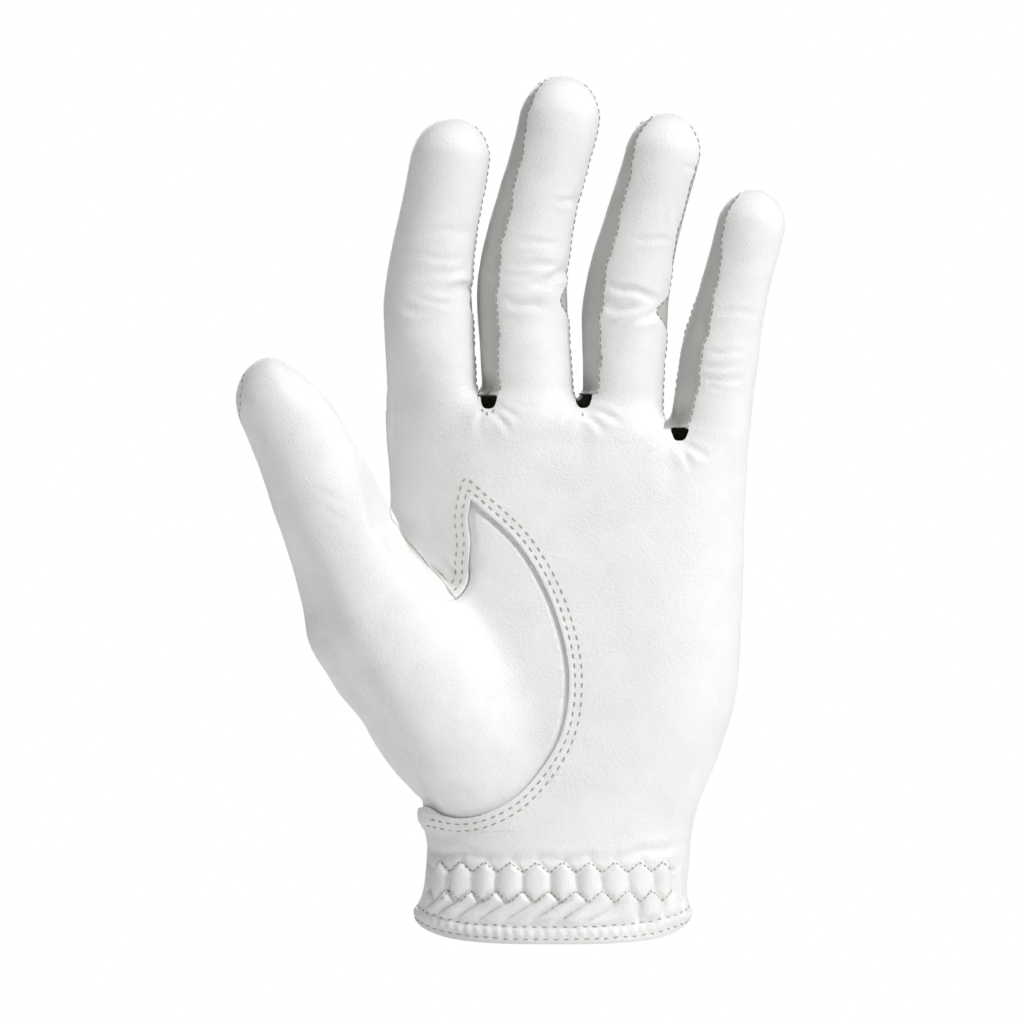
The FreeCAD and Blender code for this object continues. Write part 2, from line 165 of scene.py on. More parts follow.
# Forms: each gives the distance from a surface, under 0 inside ------------------------------
class Limb:
    """A finger or the thumb: a centre line with a width and a thickness, closed by a dome."""

    def __init__(self, name, stub, reach_down, bulge):
        self.name = name
        self.reach_down = reach_down
        self.segments = [f"{name}_lower", f"{name}_upper"]
        bodies = frame["record"]["behaviour"]["bodies"]
        nodes = [n for segment in self.segments for n in bodies[segment]]
        root, self.axis = joint_place(name + "_root_fold")
        middle, _ = joint_place(name + "_middle_fold")
        points = np.vstack([cad_arrays(n)[0] for n in nodes])
        tip = points[np.argmax(points @ (0.4 * unit(middle - root) + 0.6 * UP))]
        self.along = unit((tip - root) * [1, 0, 1])
        self.across = unit(np.array([self.along[2], 0, -self.along[0]]))
        self.back = BACK
        self.origin = root
        reach = (points - root) @ self.along
        self.tip = reach.max()
        self.middle = (middle - root) @ self.along
        rows = []
        for share in STATIONS:
            s = share * self.tip
            ring = cut_points(nodes, root + self.along * s, self.along) - root
            a, b = ring @ self.across, ring @ self.back
            rows.append((s, a.min(), a.max(), b.min(), b.max()))
        s, left, right, front, rear = np.array(rows).T
        neck_width = (right - left)[-1] / 2
        self.dome = neck_width * 1.06
        self.neck = self.tip - self.dome
        s = np.append(s, self.neck + 2)
        extend = [np.append(v, v[-1] + (v[-1] - v[-2]) * 0.4) for v in (left, right, front, rear)]
        left, right, front, rear = extend
        self.centre_a = smooth_curve(s, (left + right) / 2)
        self.centre_b = smooth_curve(s, (front + rear) / 2)
        self.half_w = smooth_curve(s, (right - left) / 2)
        self.half_t = smooth_curve(s, (rear - front) / 2)
        self.stub = stub
        self.bulge = bulge

    def local(self, p):
        """Along, across and back coordinates, the last two from the centre line."""
        q = p - self.origin
        s = q @ self.along
        return s, q @ self.across - self.centre_a(s), q @ self.back - self.centre_b(s)

    def sizes(self, s):
        shrink = self.stub * np.clip(-s, 0, None)
        swell = self.bulge(s / self.tip)
        return self.half_w(s) + swell - shrink, self.half_t(s) + swell * 0.7 - shrink

    def distance(self, p):
        s, a, b = self.local(p)
        w, t = self.sizes(s)
        w, t = np.maximum(w, 3), np.maximum(t, 3)
        over = np.maximum(s - self.neck, 0) / self.dome
        under = np.maximum(-s - self.reach_down, 0) / self.dome
        k0 = np.sqrt((a / w) ** 2 + (b / t) ** 2 + over**2 + under**2)
        k1 = np.sqrt((a / w**2) ** 2 + (b / t**2) ** 2 + ((over + under) / self.dome) ** 2)
        return k0 * (k0 - 1) / np.maximum(k1, 1e-6)

    def angle(self, p):
        """Angle round the limb in degrees: 0 faces the palm side, 90 the little finger's."""
        s, a, b = self.local(p)
        w, t = self.sizes(s)
        return np.degrees(np.arctan2(a / w, -b / t))

    def point(self, s, degrees, outward=0.0):
        """A point on the limb's form, or outward of it."""
        w, t = self.sizes(np.asarray(s, float))
        over = np.clip((s - self.neck) / self.dome, 0, 0.995)
        shrink = np.sqrt(1 - over**2)
        r = np.radians(degrees)
        a = (w * shrink + outward) * np.sin(r) + self.centre_a(s)
        b = -(t * shrink + outward) * np.cos(r) + self.centre_b(s)
        s = np.broadcast_to(s, a.shape)
        return (
            self.origin
            + s[..., None] * self.along
            + a[..., None] * self.across
            + b[..., None] * self.back
        )


class Palm:
    """The hand from the wrist to the finger roots."""

    NODES = ("palm_panel", "back_panel", "cuff_hem")
    HEIGHTS = (0.3, 5, 12, 19, 26, 33, 46, 60, 74, 88, 100, 112, 124)
    THUMB_HIDES = (34, 100)

    def __init__(self):
        rows = []
        for z in self.HEIGHTS:
            ring = cut_points(self.NODES, UP * z, UP)
            clear = ring[ring[:, 0] > 8]
            rows.append((z, ring[:, 0].min(), ring[:, 0].max(), clear[:, 1].min(), clear[:, 1].max()))
        z, left, right, front, rear = np.array(rows).T
        low, high = self.THUMB_HIDES
        seen = (z < low) | (z > high)
        left = smooth_curve(z[seen], left[seen])(z)
        self.centre = smooth_curve(z, (left + right) / 2)
        self.half_w = smooth_curve(z, (right - left) / 2)
        self.half_t = smooth_curve(z, (rear - front) / 2)
        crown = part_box("palm_panel")[1].z * 1000
        self.crown = smooth_curve(
            [-60, 0, 8, 22, 34, 60], crown - np.array([0.4, 0.4, 1.2, 3.5, 8.3, 11.5])
        )

    def square(self, z):
        return 2 + 0.5 * np.clip(z / 125, 0, 1)

    def side(self, p):
        x, y, z = p.T
        n = self.square(z)
        w, t = self.half_w(z), self.half_t(z)
        u, v = np.abs(x - self.centre(z)) / w + 1e-9, np.abs(y) / t + 1e-9
        r = (u**n + v**n) ** (1 / n)
        slope = np.sqrt((u ** (n - 1) / w) ** 2 + (v ** (n - 1) / t) ** 2) * r ** (1 - n)
        return (r - 1) / np.maximum(slope, 1e-6)

    def distance(self, p):
        return soft_max(self.side(p), p[:, 2] - self.crown(p[:, 0]), 9.0)

    def back_y(self, x, z, out=0.0):
        """The y of the back's surface, or of a layer outward of it."""
        n = self.square(z)
        u = np.clip(np.abs(x - self.centre(z)) / (self.half_w(z) + out), 0, 0.999)
        return (self.half_t(z) + out) * (1 - u**n) ** (1 / n)


def finger_bulge(u):
    return 0.35 * bell(u - 0.32, 0.09) + 0.25 * bell(u - 0.86, 0.1) - 0.25 * bell(u - 0.6, 0.12)


def thumb_bulge(u):
    return 0.3 * bell(u - 0.5, 0.12) + 0.3 * bell(u - 0.85, 0.1)


STATIONS = (0.04, 0.12, 0.24, 0.4, 0.52, 0.64, 0.76, 0.84)
palm = Palm()
limbs = {name: Limb(name, 0.2, 12, finger_bulge) for name in FINGERS}
thumb = Limb("thumb", 0.0, 0, thumb_bulge)


class ThumbBall:
    """The thumb's thick root inside the hand, from the heel up to the root fold."""

    HEEL_Z = 32

    def __init__(self):
        w, t = (float(v) for v in thumb.sizes(np.array(3.0)))
        self.top = (thumb.point(3.0, 0.0) + thumb.point(3.0, 180.0)) / 2
        z = self.HEEL_Z
        self.heel = np.array([palm.centre(z) - 0.45 * palm.half_w(z), -2.0, z])
        self.along = unit(self.top - self.heel)
        self.across = unit(np.array([self.along[2], 0, -self.along[0]]))
        self.back = np.cross(self.along, self.across)
        self.length = np.linalg.norm(self.top - self.heel)
        self.half_w = smooth_curve([0, 0.36, 0.7, 1, 1.3], [12.5, 19.0, 18.9, w, w])
        self.half_t = smooth_curve([0, 0.36, 0.7, 1, 1.3], [12.5, 15.8, 15.3, t, t])

    def distance(self, p):
        q = p - self.heel
        s, a, b = q @ self.along, q @ self.across, q @ self.back
        share = s / self.length
        w, t = self.half_w(share), self.half_t(share)
        below = np.maximum(-s, 0) / 12.0
        above = np.maximum(s - self.length, 0) / 9.0
        k0 = np.sqrt((a / w) ** 2 + (b / t) ** 2 + below**2 + above**2)
        k1 = np.sqrt((a / w**2) ** 2 + (b / t**2) ** 2 + (below / 12) ** 2 + (above / 9) ** 2)
        return k0 * (k0 - 1) / np.maximum(k1, 1e-6)


ball = ThumbBall()


def palm_form(p):
    return soft_min(palm.distance(p), ball.distance(p), 7.0)


def thumb_form(p):
    root = soft_min(ball.distance(p), thumb.distance(p), 5.0)
    return soft_min(palm.distance(p), root, 7.0)


def finger_form(name):
    def form(p):
        return soft_min(palm_form(p), limbs[name].distance(p), 4.0)

    return form


def hand_form(p):
    total = thumb_form(p)
    for name in FINGERS:
        total = np.minimum(total, finger_form(name)(p))
    return total


def slope(form, p, step=0.08):
    out = np.empty_like(p)
    for k in range(3):
        ahead = np.zeros(3)
        ahead[k] = step
        out[:, k] = (form(p + ahead) - form(p - ahead)) / (2 * step)
    return out


def settle(form, p, rounds=3):
    """Points moved onto the surface of a form, and the surface's normals there."""
    for _ in range(rounds):
        g = slope(form, p)
        size = np.maximum((g**2).sum(1), 0.05)
        move = -form(p)[:, None] * g / size[:, None]
        p = p + np.clip(move, -GRID, GRID)
    g = slope(form, p)
    return p, g / np.linalg.norm(g, axis=1)[:, None]


# Meshing ------------------------------------------------------------------------------------
class Skin:
    """A sheet: vertices on a form (base), where they are drawn (points), normals, and faces.

    A face has four corners, or three and a last one of -1."""

    def __init__(self, base, points, normals, faces):
        self.base, self.points, self.normals, self.faces = base, points, normals, faces

    def renew_normals(self, which=None):
        fresh = mesh_normals(self.points, self.faces)
        if which is None:
            self.normals = fresh
        else:
            self.normals[which] = fresh[which]


def mesh_normals(points, faces):
    first, second, third = (points[faces[:, k]] for k in range(3))
    last = points[np.where(faces[:, 3] >= 0, faces[:, 3], faces[:, 0])]
    across = np.cross(third - first, last - second)
    total = np.zeros_like(points)
    for k in range(4):
        real = faces[:, k] >= 0
        for axis in range(3):
            total[:, axis] += np.bincount(
                faces[real, k], weights=across[real, axis], minlength=len(points)
            )
    return total / np.maximum(np.linalg.norm(total, axis=1), 1e-9)[:, None]


def near_values(form, nodes, grid, stride=4):
    """A form's values on a lattice: exact near its surface, and of the right sign elsewhere."""
    rough_nodes = nodes[::stride, ::stride, ::stride]
    rough = form(rough_nodes.reshape(-1, 3)).reshape(rough_nodes.shape[:3])
    spots = [
        np.minimum((np.arange(n) + stride // 2) // stride, m - 1)
        for n, m in zip(nodes.shape, rough.shape)
    ]
    value = rough[np.ix_(*spots)]
    near = np.abs(value) < 2.6 * stride * grid
    value[near] = form(nodes[near])
    return value


def skin_of(form, low, high, grid=GRID):
    """The surface of a form between two corners, on one lattice that all skins share."""
    start = np.floor(np.asarray(low) / grid).astype(int)
    stop = np.ceil(np.asarray(high) / grid).astype(int) + 1
    axes = [np.arange(a, b) * grid for a, b in zip(start, stop)]
    nodes = np.stack(np.meshgrid(*axes, indexing="ij"), -1)
    value = near_values(form, nodes, grid)
    inside = value < 0
    cells = tuple(n - 1 for n in nodes.shape[:3])
    corner = {}
    for i in (0, 1):
        for j in (0, 1):
            for k in (0, 1):
                window = (slice(i, i + cells[0]), slice(j, j + cells[1]), slice(k, k + cells[2]))
                corner[i, j, k] = window
    count = sum(inside[w].astype(np.int8) for w in corner.values())
    active = np.nonzero((count > 0) & (count < 8))
    index = np.full(cells, -1)
    index[active] = np.arange(len(active[0]))
    total = np.zeros((len(active[0]), 3))
    hits = np.zeros(len(active[0]))
    for a in corner:
        for axis in range(3):
            if a[axis]:
                continue
            b = tuple(v + (n == axis) for n, v in enumerate(a))
            va, vb = value[corner[a]][active], value[corner[b]][active]
            crossing = (va < 0) != (vb < 0)
            t = np.where(crossing, va / np.where(crossing, va - vb, 1), 0)
            spot = np.array(a, float)[None] + np.eye(3)[axis] * t[:, None]
            total += spot * crossing[:, None]
            hits += crossing
    points = (np.stack(active, 1) + total / hits[:, None] + start) * grid
    faces = []
    for axis in range(3):
        first = [slice(1, n) for n in cells]
        first[axis] = slice(0, cells[axis])
        here = tuple(first)
        step = np.eye(3, dtype=int)[axis]
        ahead = tuple(slice(s.start + d, s.stop + d) for s, d in zip(first, step))
        turned = inside[here] != inside[ahead]
        spots = np.stack(np.nonzero(turned), 1) + [s.start for s in first]
        out = inside[here][turned]
        u, v = np.eye(3, dtype=int)[(axis + 1) % 3], np.eye(3, dtype=int)[(axis + 2) % 3]
        ring = [spots - u - v, spots - v, spots, spots - u]
        quad = np.stack([index[tuple(c.T)] for c in ring], 1)
        faces.append(np.where(out[:, None], quad, quad[:, ::-1]))
    points, normals = settle(form, points)
    return Skin(points, points.copy(), normals, np.vstack(faces))


def divide(skin, field, both):
    """Cuts a skin along the line where field is 0, and keeps the part under 0, or both."""
    value = field(skin.base)
    inside = value < 0
    real = skin.faces >= 0
    status = np.where(real, inside[skin.faces], False).sum(1)
    whole = (status == real.sum(1)) | (both & (status == 0))
    cut = (status > 0) & (status < real.sum(1))
    pairs, known, made_faces = [], {}, []

    def crossing(a, b):
        key = (a, b) if a < b else (b, a)
        if key not in known:
            known[key] = len(value) + len(pairs)
            pairs.append(key)
        return known[key]

    def add_face(shape):
        if len(shape) == 3:
            made_faces.append([*shape, -1])
        elif len(shape) == 4:
            made_faces.append(shape)
        elif len(shape) == 5:
            made_faces.append(shape[:4])
            made_faces.append([shape[0], shape[3], shape[4], -1])
        elif len(shape) == 6:
            made_faces.append(shape[:4])
            made_faces.append([shape[0], *shape[3:6]])

    for face in skin.faces[cut].tolist():
        ring = [v for v in face if v >= 0]
        kept, left = [], []
        for a, b in zip(ring, ring[1:] + ring[:1]):
            (kept if inside[a] else left).append(a)
            if inside[a] != inside[b]:
                spot = crossing(a, b)
                kept.append(spot)
                left.append(spot)
        add_face(kept)
        if both:
            add_face(left)
    first, second = np.array(pairs, int).reshape(-1, 2).T
    t = (value[first] / (value[first] - value[second]))[:, None]

    def extended(rows):
        return np.vstack([rows, rows[first] * (1 - t) + rows[second] * t])

    normals = extended(skin.normals)
    normals /= np.maximum(np.linalg.norm(normals, axis=1), 1e-9)[:, None]
    faces = np.vstack([skin.faces[whole], np.array(made_faces, int).reshape(-1, 4)])
    used = np.unique(faces[faces >= 0])
    fresh = np.full(len(normals) + 1, -1)
    fresh[used] = np.arange(len(used))
    return Skin(extended(skin.base)[used], extended(skin.points)[used], normals[used], fresh[faces])


def clip(skin, *fields):
    """The part of a skin where every field is under 0."""
    for field in fields:
        skin = divide(skin, field, False)
    return skin


def edged(skin, away, profile, reach=1.8):
    """Shapes a skin beside a seam: away is the distance from the seam, and profile the lift."""
    skin = divide(skin, lambda p: EDGE - away(p), True)
    gap = away(skin.base)
    skin.points = skin.points + skin.normals * profile(gap)[:, None]
    skin.renew_normals(np.abs(gap) < reach)
    return skin


def lifted(skin, relief, shift):
    """A skin lifted by its relief along its normals and moved by shift in y."""
    skin.points = skin.base + skin.normals * relief(skin.base, skin.normals)[:, None]
    return laid_back(skin, shift)


def laid_back(skin, shift):
    skin.points = skin.points + np.outer(shift(skin.base), BACK)
    skin.renew_normals()
    return skin


def edge_pairs(faces):
    """Directed edges of a skin's faces."""
    last = np.where(faces[:, 3] >= 0, faces[:, 3], faces[:, 2])
    pairs = [faces[:, [0, 1]], faces[:, [1, 2]], np.stack([last, faces[:, 0]], 1)]
    quads = faces[faces[:, 3] >= 0]
    return np.vstack([*pairs, quads[:, [2, 3]]])


def rim_edges(skin):
    count = len(skin.points) + 1
    pairs = edge_pairs(skin.faces).astype(np.int64)
    code = pairs[:, 0] * count + pairs[:, 1]
    back_code = pairs[:, 1] * count + pairs[:, 0]
    return pairs[~np.isin(code, back_code)]


def add_mesh(name, points, polygons, materials, slots=None, normals=None, sharp=50):
    """A mesh object from points in millimetres. normals are for each corner, (0, 0, 0) for auto."""
    mesh = bpy.data.meshes.new(name)
    mesh.from_pydata((np.asarray(points) / 1000).tolist(), [], polygons)
    mesh.shade_smooth()
    mesh.set_sharp_from_angle(angle=math.radians(sharp))
    for material in materials:
        mesh.materials.append(material)
    if slots is not None:
        mesh.polygons.foreach_set("material_index", slots)
    changed = mesh.validate()
    if normals is not None and not changed:
        mesh.normals_split_custom_set(normals)
    made = bpy.data.objects.new(name, mesh)
    bpy.context.scene.collection.objects.link(made)
    return made


def add_sheet(name, skin, thickness, materials):
    """A closed sheet: a skin, the same faces moved inward, and a rim between them."""
    count = len(skin.points)
    rim = rim_edges(skin)
    inner = skin.points - skin.normals * thickness
    faces = [[v for v in f if v >= 0] for f in skin.faces.tolist()]
    under = [[v + count for v in reversed(f)] for f in faces]
    sides = np.stack([rim[:, 1], rim[:, 0], rim[:, 0] + count, rim[:, 1] + count], 1).tolist()
    outer_corners = np.concatenate([np.array(f) for f in faces])
    under_corners = np.concatenate([np.array(f) for f in under]) - count
    normals = np.vstack(
        [skin.normals[outer_corners], -skin.normals[under_corners], np.zeros((4 * len(sides), 3))]
    )
    slots = [0] * len(faces) + [1] * len(under) + [0] * len(sides)
    points = np.vstack([skin.points, inner])
    return add_mesh(name, points, faces + under + sides, materials, slots, normals.tolist())


# Materials ----------------------------------------------------------------------------------
class Material:
    """A principled material with its pattern built from nodes, in the object's own metres."""

    def __init__(self, name, colour, roughness, sheen=0.0, coat=0.0):
        self.material = bpy.data.materials.new(name)
        self.material.use_nodes = True
        self.nodes, self.links = self.material.node_tree.nodes, self.material.node_tree.links
        self.shader = self.nodes["Principled BSDF"]
        self.shader.inputs["Base Color"].default_value = (*colour, 1)
        self.shader.inputs["Roughness"].default_value = roughness
        self.shader.inputs["Sheen Weight"].default_value = sheen
        self.shader.inputs["Sheen Roughness"].default_value = 0.5
        self.shader.inputs["Coat Weight"].default_value = coat
        self.place = self.nodes.new("ShaderNodeTexCoord").outputs["Object"]

    def add(self, kind, inputs=None, **settings):
        node = self.nodes.new(kind)
        for key, value in settings.items():
            setattr(node, key, value)
        for key, value in (inputs or {}).items():
            if isinstance(value, bpy.types.NodeSocket):
                self.links.new(value, node.inputs[key])
            else:
                node.inputs[key].default_value = value
        return node

    def noise(self, size_mm, detail=2.0, distortion=0.0):
        inputs = {"Vector": self.place, "Scale": 1000 / size_mm, "Detail": detail}
        return self.add("ShaderNodeTexNoise", {**inputs, "Distortion": distortion}).outputs["Fac"]

    def cells(self, size_mm, feature="SMOOTH_F1"):
        inputs = {"Vector": self.place, "Scale": 1000 / size_mm}
        return self.add("ShaderNodeTexVoronoi", inputs, feature=feature).outputs["Distance"]

    def maths(self, operation, a, b):
        return self.add("ShaderNodeMath", {0: a, 1: b}, operation=operation).outputs[0]

    def spread(self, value, low, high):
        inputs = {"Value": value, "From Min": 0.3, "From Max": 0.7, "To Min": low, "To Max": high}
        return self.add("ShaderNodeMapRange", inputs).outputs[0]

    def tint(self, fac, first, second):
        mix = self.add("ShaderNodeMix", {"Factor": fac}, data_type="RGBA")
        colours = [s for s in mix.inputs if s.type == "RGBA"]
        colours[0].default_value = (*first, 1)
        colours[1].default_value = (*second, 1)
        result = [s for s in mix.outputs if s.type == "RGBA"][0]
        self.links.new(result, self.shader.inputs["Base Color"])

    def rough(self, value):
        self.links.new(value, self.shader.inputs["Roughness"])

    def bump(self, height, depth_mm, strength=1.0):
        inputs = {"Height": height, "Distance": depth_mm / 1000, "Strength": strength}
        result = self.add("ShaderNodeBump", inputs).outputs[0]
        self.links.new(result, self.shader.inputs["Normal"])


def make_leather(name, light, dark, grain_mm):
    """Fine cabretta leather: pebbled grain, pores, faint stretch marks and uneven polish."""
    made = Material(name, light, 0.52, sheen=0.06)
    grain = made.cells(grain_mm)
    fine = made.noise(grain_mm * 0.45, 3.0)
    broad = made.noise(9.0, 3.0, 0.6)
    pores = made.spread(made.noise(grain_mm * 0.9, 1.0), -0.2, 1.0)
    height = made.maths("ADD", made.maths("MULTIPLY", grain, 0.9), made.maths("MULTIPLY", fine, 0.7))
    height = made.maths("ADD", height, made.maths("MULTIPLY", pores, 0.25))
    height = made.maths("MULTIPLY", height, made.spread(broad, 0.55, 1.0))
    made.bump(height, 0.11)
    made.tint(made.spread(made.maths("ADD", made.maths("MULTIPLY", broad, 0.7),
                                     made.maths("MULTIPLY", fine, 0.3)), 0.0, 1.0), light, dark)
    made.rough(made.spread(fine, 0.46, 0.62))
    return made.material


def make_suede(name, light, dark):
    made = Material(name, light, 0.9, sheen=0.3)
    nap = made.noise(0.5, 4.0, 0.5)
    made.bump(nap, 0.25)
    made.tint(made.spread(made.noise(4.0, 3.0), 0.0, 1.0), light, dark)
    return made.material


def make_thread(name, light, dark):
    """Twisted sewing thread."""
    made = Material(name, light, 0.6, sheen=0.2)
    turned_place = made.add("ShaderNodeMapping", {"Vector": made.place}).outputs[0]
    strands = made.add(
        "ShaderNodeTexWave", {"Vector": turned_place, "Scale": 2600.0, "Distortion": 2.0},
        bands_direction="DIAGONAL",
    ).outputs["Fac"]
    made.bump(strands, 0.06)
    made.tint(made.spread(strands, 0.0, 1.0), light, dark)
    return made.material


def make_weave(name, light, dark, pitch_mm, depth_mm, rough=0.75):
    """Knit or woven tape: two crossed sets of bands."""
    made = Material(name, light, rough, sheen=0.25)
    scale = 1000 / pitch_mm / 3.2
    sets = []
    for way in ("X", "Z"):
        inputs = {"Vector": made.place, "Scale": scale, "Distortion": 0.4}
        sets.append(made.add("ShaderNodeTexWave", inputs, bands_direction=way).outputs["Fac"])
    height = made.maths("MULTIPLY", sets[0], sets[1])
    made.bump(height, depth_mm)
    # The colour follows the bump: darker where the bands are low, painted shade in the weave's hollows.
    made.tint(height, dark, light)
    return made.material


def make_fuzz(name, light, dark, size_mm, depth_mm, hooked):
    """Loop pile, or the rows of a hook patch."""
    made = Material(name, light, 0.85 if not hooked else 0.55, sheen=0.5 if not hooked else 0.0)
    if hooked:
        height = made.maths("SUBTRACT", 1.0, made.cells(size_mm, "F1"))
    else:
        height = made.noise(size_mm, 6.0, 2.0)
    made.bump(height, depth_mm)
    # The colour follows the bump: darker where it is low, painted shade between the loops and the hooks.
    made.tint(made.spread(height, 0.0, 1.0), dark, light)
    return made.material


leather = make_leather("white_leather", (0.86, 0.858, 0.85), (0.8, 0.798, 0.79), 0.62)
# The gussets' leather is darker grey than the white leather: painted shade between the fingers, where the leather
# is really the same white.
gusset_leather = make_leather("gusset_leather", (0.55, 0.545, 0.53), (0.48, 0.475, 0.46), 0.55)
suede = make_suede("suede_inside", (0.42, 0.37, 0.32), (0.34, 0.29, 0.25))
lining = make_suede("tab_lining", (0.78, 0.77, 0.75), (0.7, 0.69, 0.67))
thread_material = make_thread("thread", (0.5, 0.48, 0.44), (0.36, 0.34, 0.31))
# The finger seams' thread is darker grey than the other thread: painted shade of the seam's groove on a real
# thread.
seam_thread = make_thread("seam_thread", (0.36, 0.34, 0.32), (0.26, 0.25, 0.23))
elastic = make_weave("elastic", (0.82, 0.82, 0.8), (0.55, 0.55, 0.54), 0.8, 0.15)
binding = make_weave("binding", (0.84, 0.84, 0.83), (0.68, 0.68, 0.67), 0.45, 0.08)
label = make_weave("label", (0.86, 0.86, 0.85), (0.76, 0.76, 0.75), 0.3, 0.03)
loop = make_fuzz("loop_pile", (0.84, 0.84, 0.83), (0.6, 0.6, 0.59), 0.7, 0.4, False)
hook = make_fuzz("hook_rows", (0.8, 0.8, 0.79), (0.5, 0.5, 0.49), 0.9, 0.35, True)


# Seams and creases, as places on the glove -----------------------------------------------------
ARC = [(-20.6, 110.2), (-8.5, 98.7), (0.2, 82.5), (3.7, 65.0), (1.5, 51.2), (-4.0, 42.2)]
ARC += [(-11.2, 35.2), (-23.0, 31.0), (-31.5, 32.2)]
BRANCH = [(-20.6, 110.2), (-21.5, 105.0), (-20.9, 100.0), (-21.4, 94.0), (-21.7, 89.6)]
BRANCH += [(-23.0, 87.2), (-24.7, 85.5)]
CROTCH = np.array([-24.7, 85.5])  # where the thumb piece's edge meets the thumb
WEB = np.array([-40.7, 105.2])  # where the thumb leaves the hand's outline
INDEX_EDGE = np.array([-41.5, 128.0])
THUMB_GAP = np.array([-0.24, 0.97])  # from WEB on, the way between thumb and hand
GUSSET_FOOT = {"index": (136.0,), "middle": (136.0, 136.3), "ring": (136.3, 127.9), "little": (127.9,)}
VENTS = [(-16.4, 134.6), (7.3, 134.9), (31.3, 126.5)]
VENT_WIDE, VENT_NARROW, VENT_TALL = 2.5, 1.3, 1.6  # half widths at top and foot, half height
HEM_RISE = 4.6  # how much higher the hem's edge is at the sides than in front
HEM_BAND = 5.4
SLIT_X, SLIT_HALF, SLIT_TOP = 2.0, 1.75, 60.0
SIDE_SEAM_Y, THUMB_SEAM_Y = 5.0, 1.5
THUMB_SEAM_BEHIND = 4.6  # the thumb's outer seam lies this far behind its middle, below the tip

# Each crease: its two ends, its half width and its depth.
BALL_RIDGE = np.array([-43.5, 65.0])  # where the thumb's ball turns away to the left
BALL_WAY = np.array([-0.886, -0.463])
CREASES = [
    (-38.0, 176.5, -20.4, 177.0, 1.3, 0.22),
    (-33.5, 170.2, -22.2, 170.2, 0.9, 0.24),
    (-36.2, 165.5, -21.4, 167.2, 1.1, 0.32),
    (-30.0, 161.0, -20.6, 163.6, 1.1, 0.75),
    (-34.0, 159.3, -25.0, 159.3, 1.0, 0.5),
    (-38.5, 157.3, -29.0, 157.9, 1.3, 0.45),
    (0.0, 184.1, 5.2, 184.6, 0.9, 0.5),
    (-9.6, 173.7, 0.9, 174.2, 1.0, 0.34),
    (-11.5, 167.9, 2.9, 168.8, 1.0, 0.42),
    (-13.2, 165.9, -5.1, 166.2, 0.8, 0.32),
    (-6.0, 163.2, 3.8, 166.8, 1.1, 0.85),
    (-12.6, 159.4, -2.0, 157.9, 1.2, 0.55),
    (31.7, 192.6, 36.8, 192.8, 0.9, 0.3),
    (19.4, 174.8, 29.8, 174.5, 0.9, 0.32),
    (13.6, 163.3, 26.3, 160.2, 1.0, 0.72),
    (12.6, 158.0, 20.9, 158.0, 1.3, 0.6),
    (15.4, 152.5, 26.0, 157.2, 1.1, 0.72),
    (39.5, 156.8, 53.5, 156.5, 0.9, 0.24),
    (37.4, 146.8, 48.0, 146.8, 0.9, 0.32),
    (36.0, 142.7, 46.4, 143.9, 0.8, 0.28),
    (36.0, 140.2, 48.2, 139.9, 0.9, 0.46),
    (37.7, 138.5, 43.0, 137.7, 0.8, 0.3),
    (-15.6, 132.2, -11.0, 127.0, 0.9, 0.35),
    (-15.0, 133.2, -8.4, 130.6, 0.9, 0.3),
    (-17.4, 132.2, -19.6, 127.6, 1.0, 0.3),
    (8.6, 132.8, 17.0, 129.4, 0.9, 0.4),
    (8.0, 132.0, 12.6, 126.0, 1.0, 0.36),
    (5.9, 132.8, 2.2, 128.4, 1.0, 0.3),
    (32.4, 124.4, 38.4, 120.2, 1.0, 0.36),
    (32.0, 123.8, 33.8, 117.6, 1.0, 0.34),
    (29.6, 124.6, 24.4, 120.6, 1.1, 0.34),
    (-25.6, 88.6, -32.4, 95.6, 0.9, 0.75),
    (-23.6, 91.0, -27.6, 96.8, 0.9, 0.4),
    (-33.0, 22.9, -12.0, 20.9, 1.3, 0.5),
    (-14.0, 21.0, 14.0, 21.0, 1.3, 0.32),
    (12.0, 21.0, 34.0, 24.6, 1.3, 0.45),
    (-33.0, 40.0, -20.0, 36.4, 1.6, 0.25),
    (-58.0, 108.0, -50.0, 104.5, 1.0, 0.1),
    (-60.5, 113.0, -51.0, 108.8, 1.1, 0.12),
]
# Each hollow or swelling of the palm side: its centre, half width, half height and lift.
SWELLS = [
    (-23.8, 165.2, 3.4, 1.7, 0.5), (-27.0, 172.0, 7.0, 5.0, 0.25), (-24.0, 158.0, 5.0, 3.0, 0.3),
    (-1.5, 161.0, 3.6, 2.0, 0.65), (-4.0, 170.8, 6.0, 2.4, 0.25), (2.2, 166.8, 1.8, 1.6, -0.7),
    (4.9, 184.4, 1.8, 1.6, -0.6), (20.5, 155.0, 4.6, 2.2, 0.55), (22.0, 164.5, 5.0, 3.6, 0.3),
    (26.4, 158.0, 1.9, 2.6, -0.7), (17.0, 157.4, 3.6, 1.8, -0.35), (28.8, 180.4, 0.9, 3.4, 0.35),
    (31.0, 178.0, 1.6, 2.2, -0.35), (-21.0, 162.6, 1.7, 1.6, -0.6), (43.0, 143.0, 6.0, 5.0, 0.25),
    (-30.0, 118.0, 11.0, 9.0, 0.5), (-7.0, 121.0, 9.0, 8.0, 0.5), (16.0, 119.0, 9.0, 8.0, 0.5),
    (35.0, 112.0, 9.0, 9.0, 0.5), (-17.0, 127.0, 2.4, 6.0, -0.35), (7.0, 127.0, 2.4, 6.0, -0.35),
    (29.0, 118.0, 2.6, 6.0, -0.35), (12.0, 84.0, 12.0, 16.0, -0.6), (30.0, 62.0, 12.0, 24.0, 0.8),
    (-16.5, 133.0, 3.0, 2.4, -0.5), (7.3, 133.2, 3.0, 2.4, -0.5), (31.2, 124.9, 3.0, 2.4, -0.5),
]
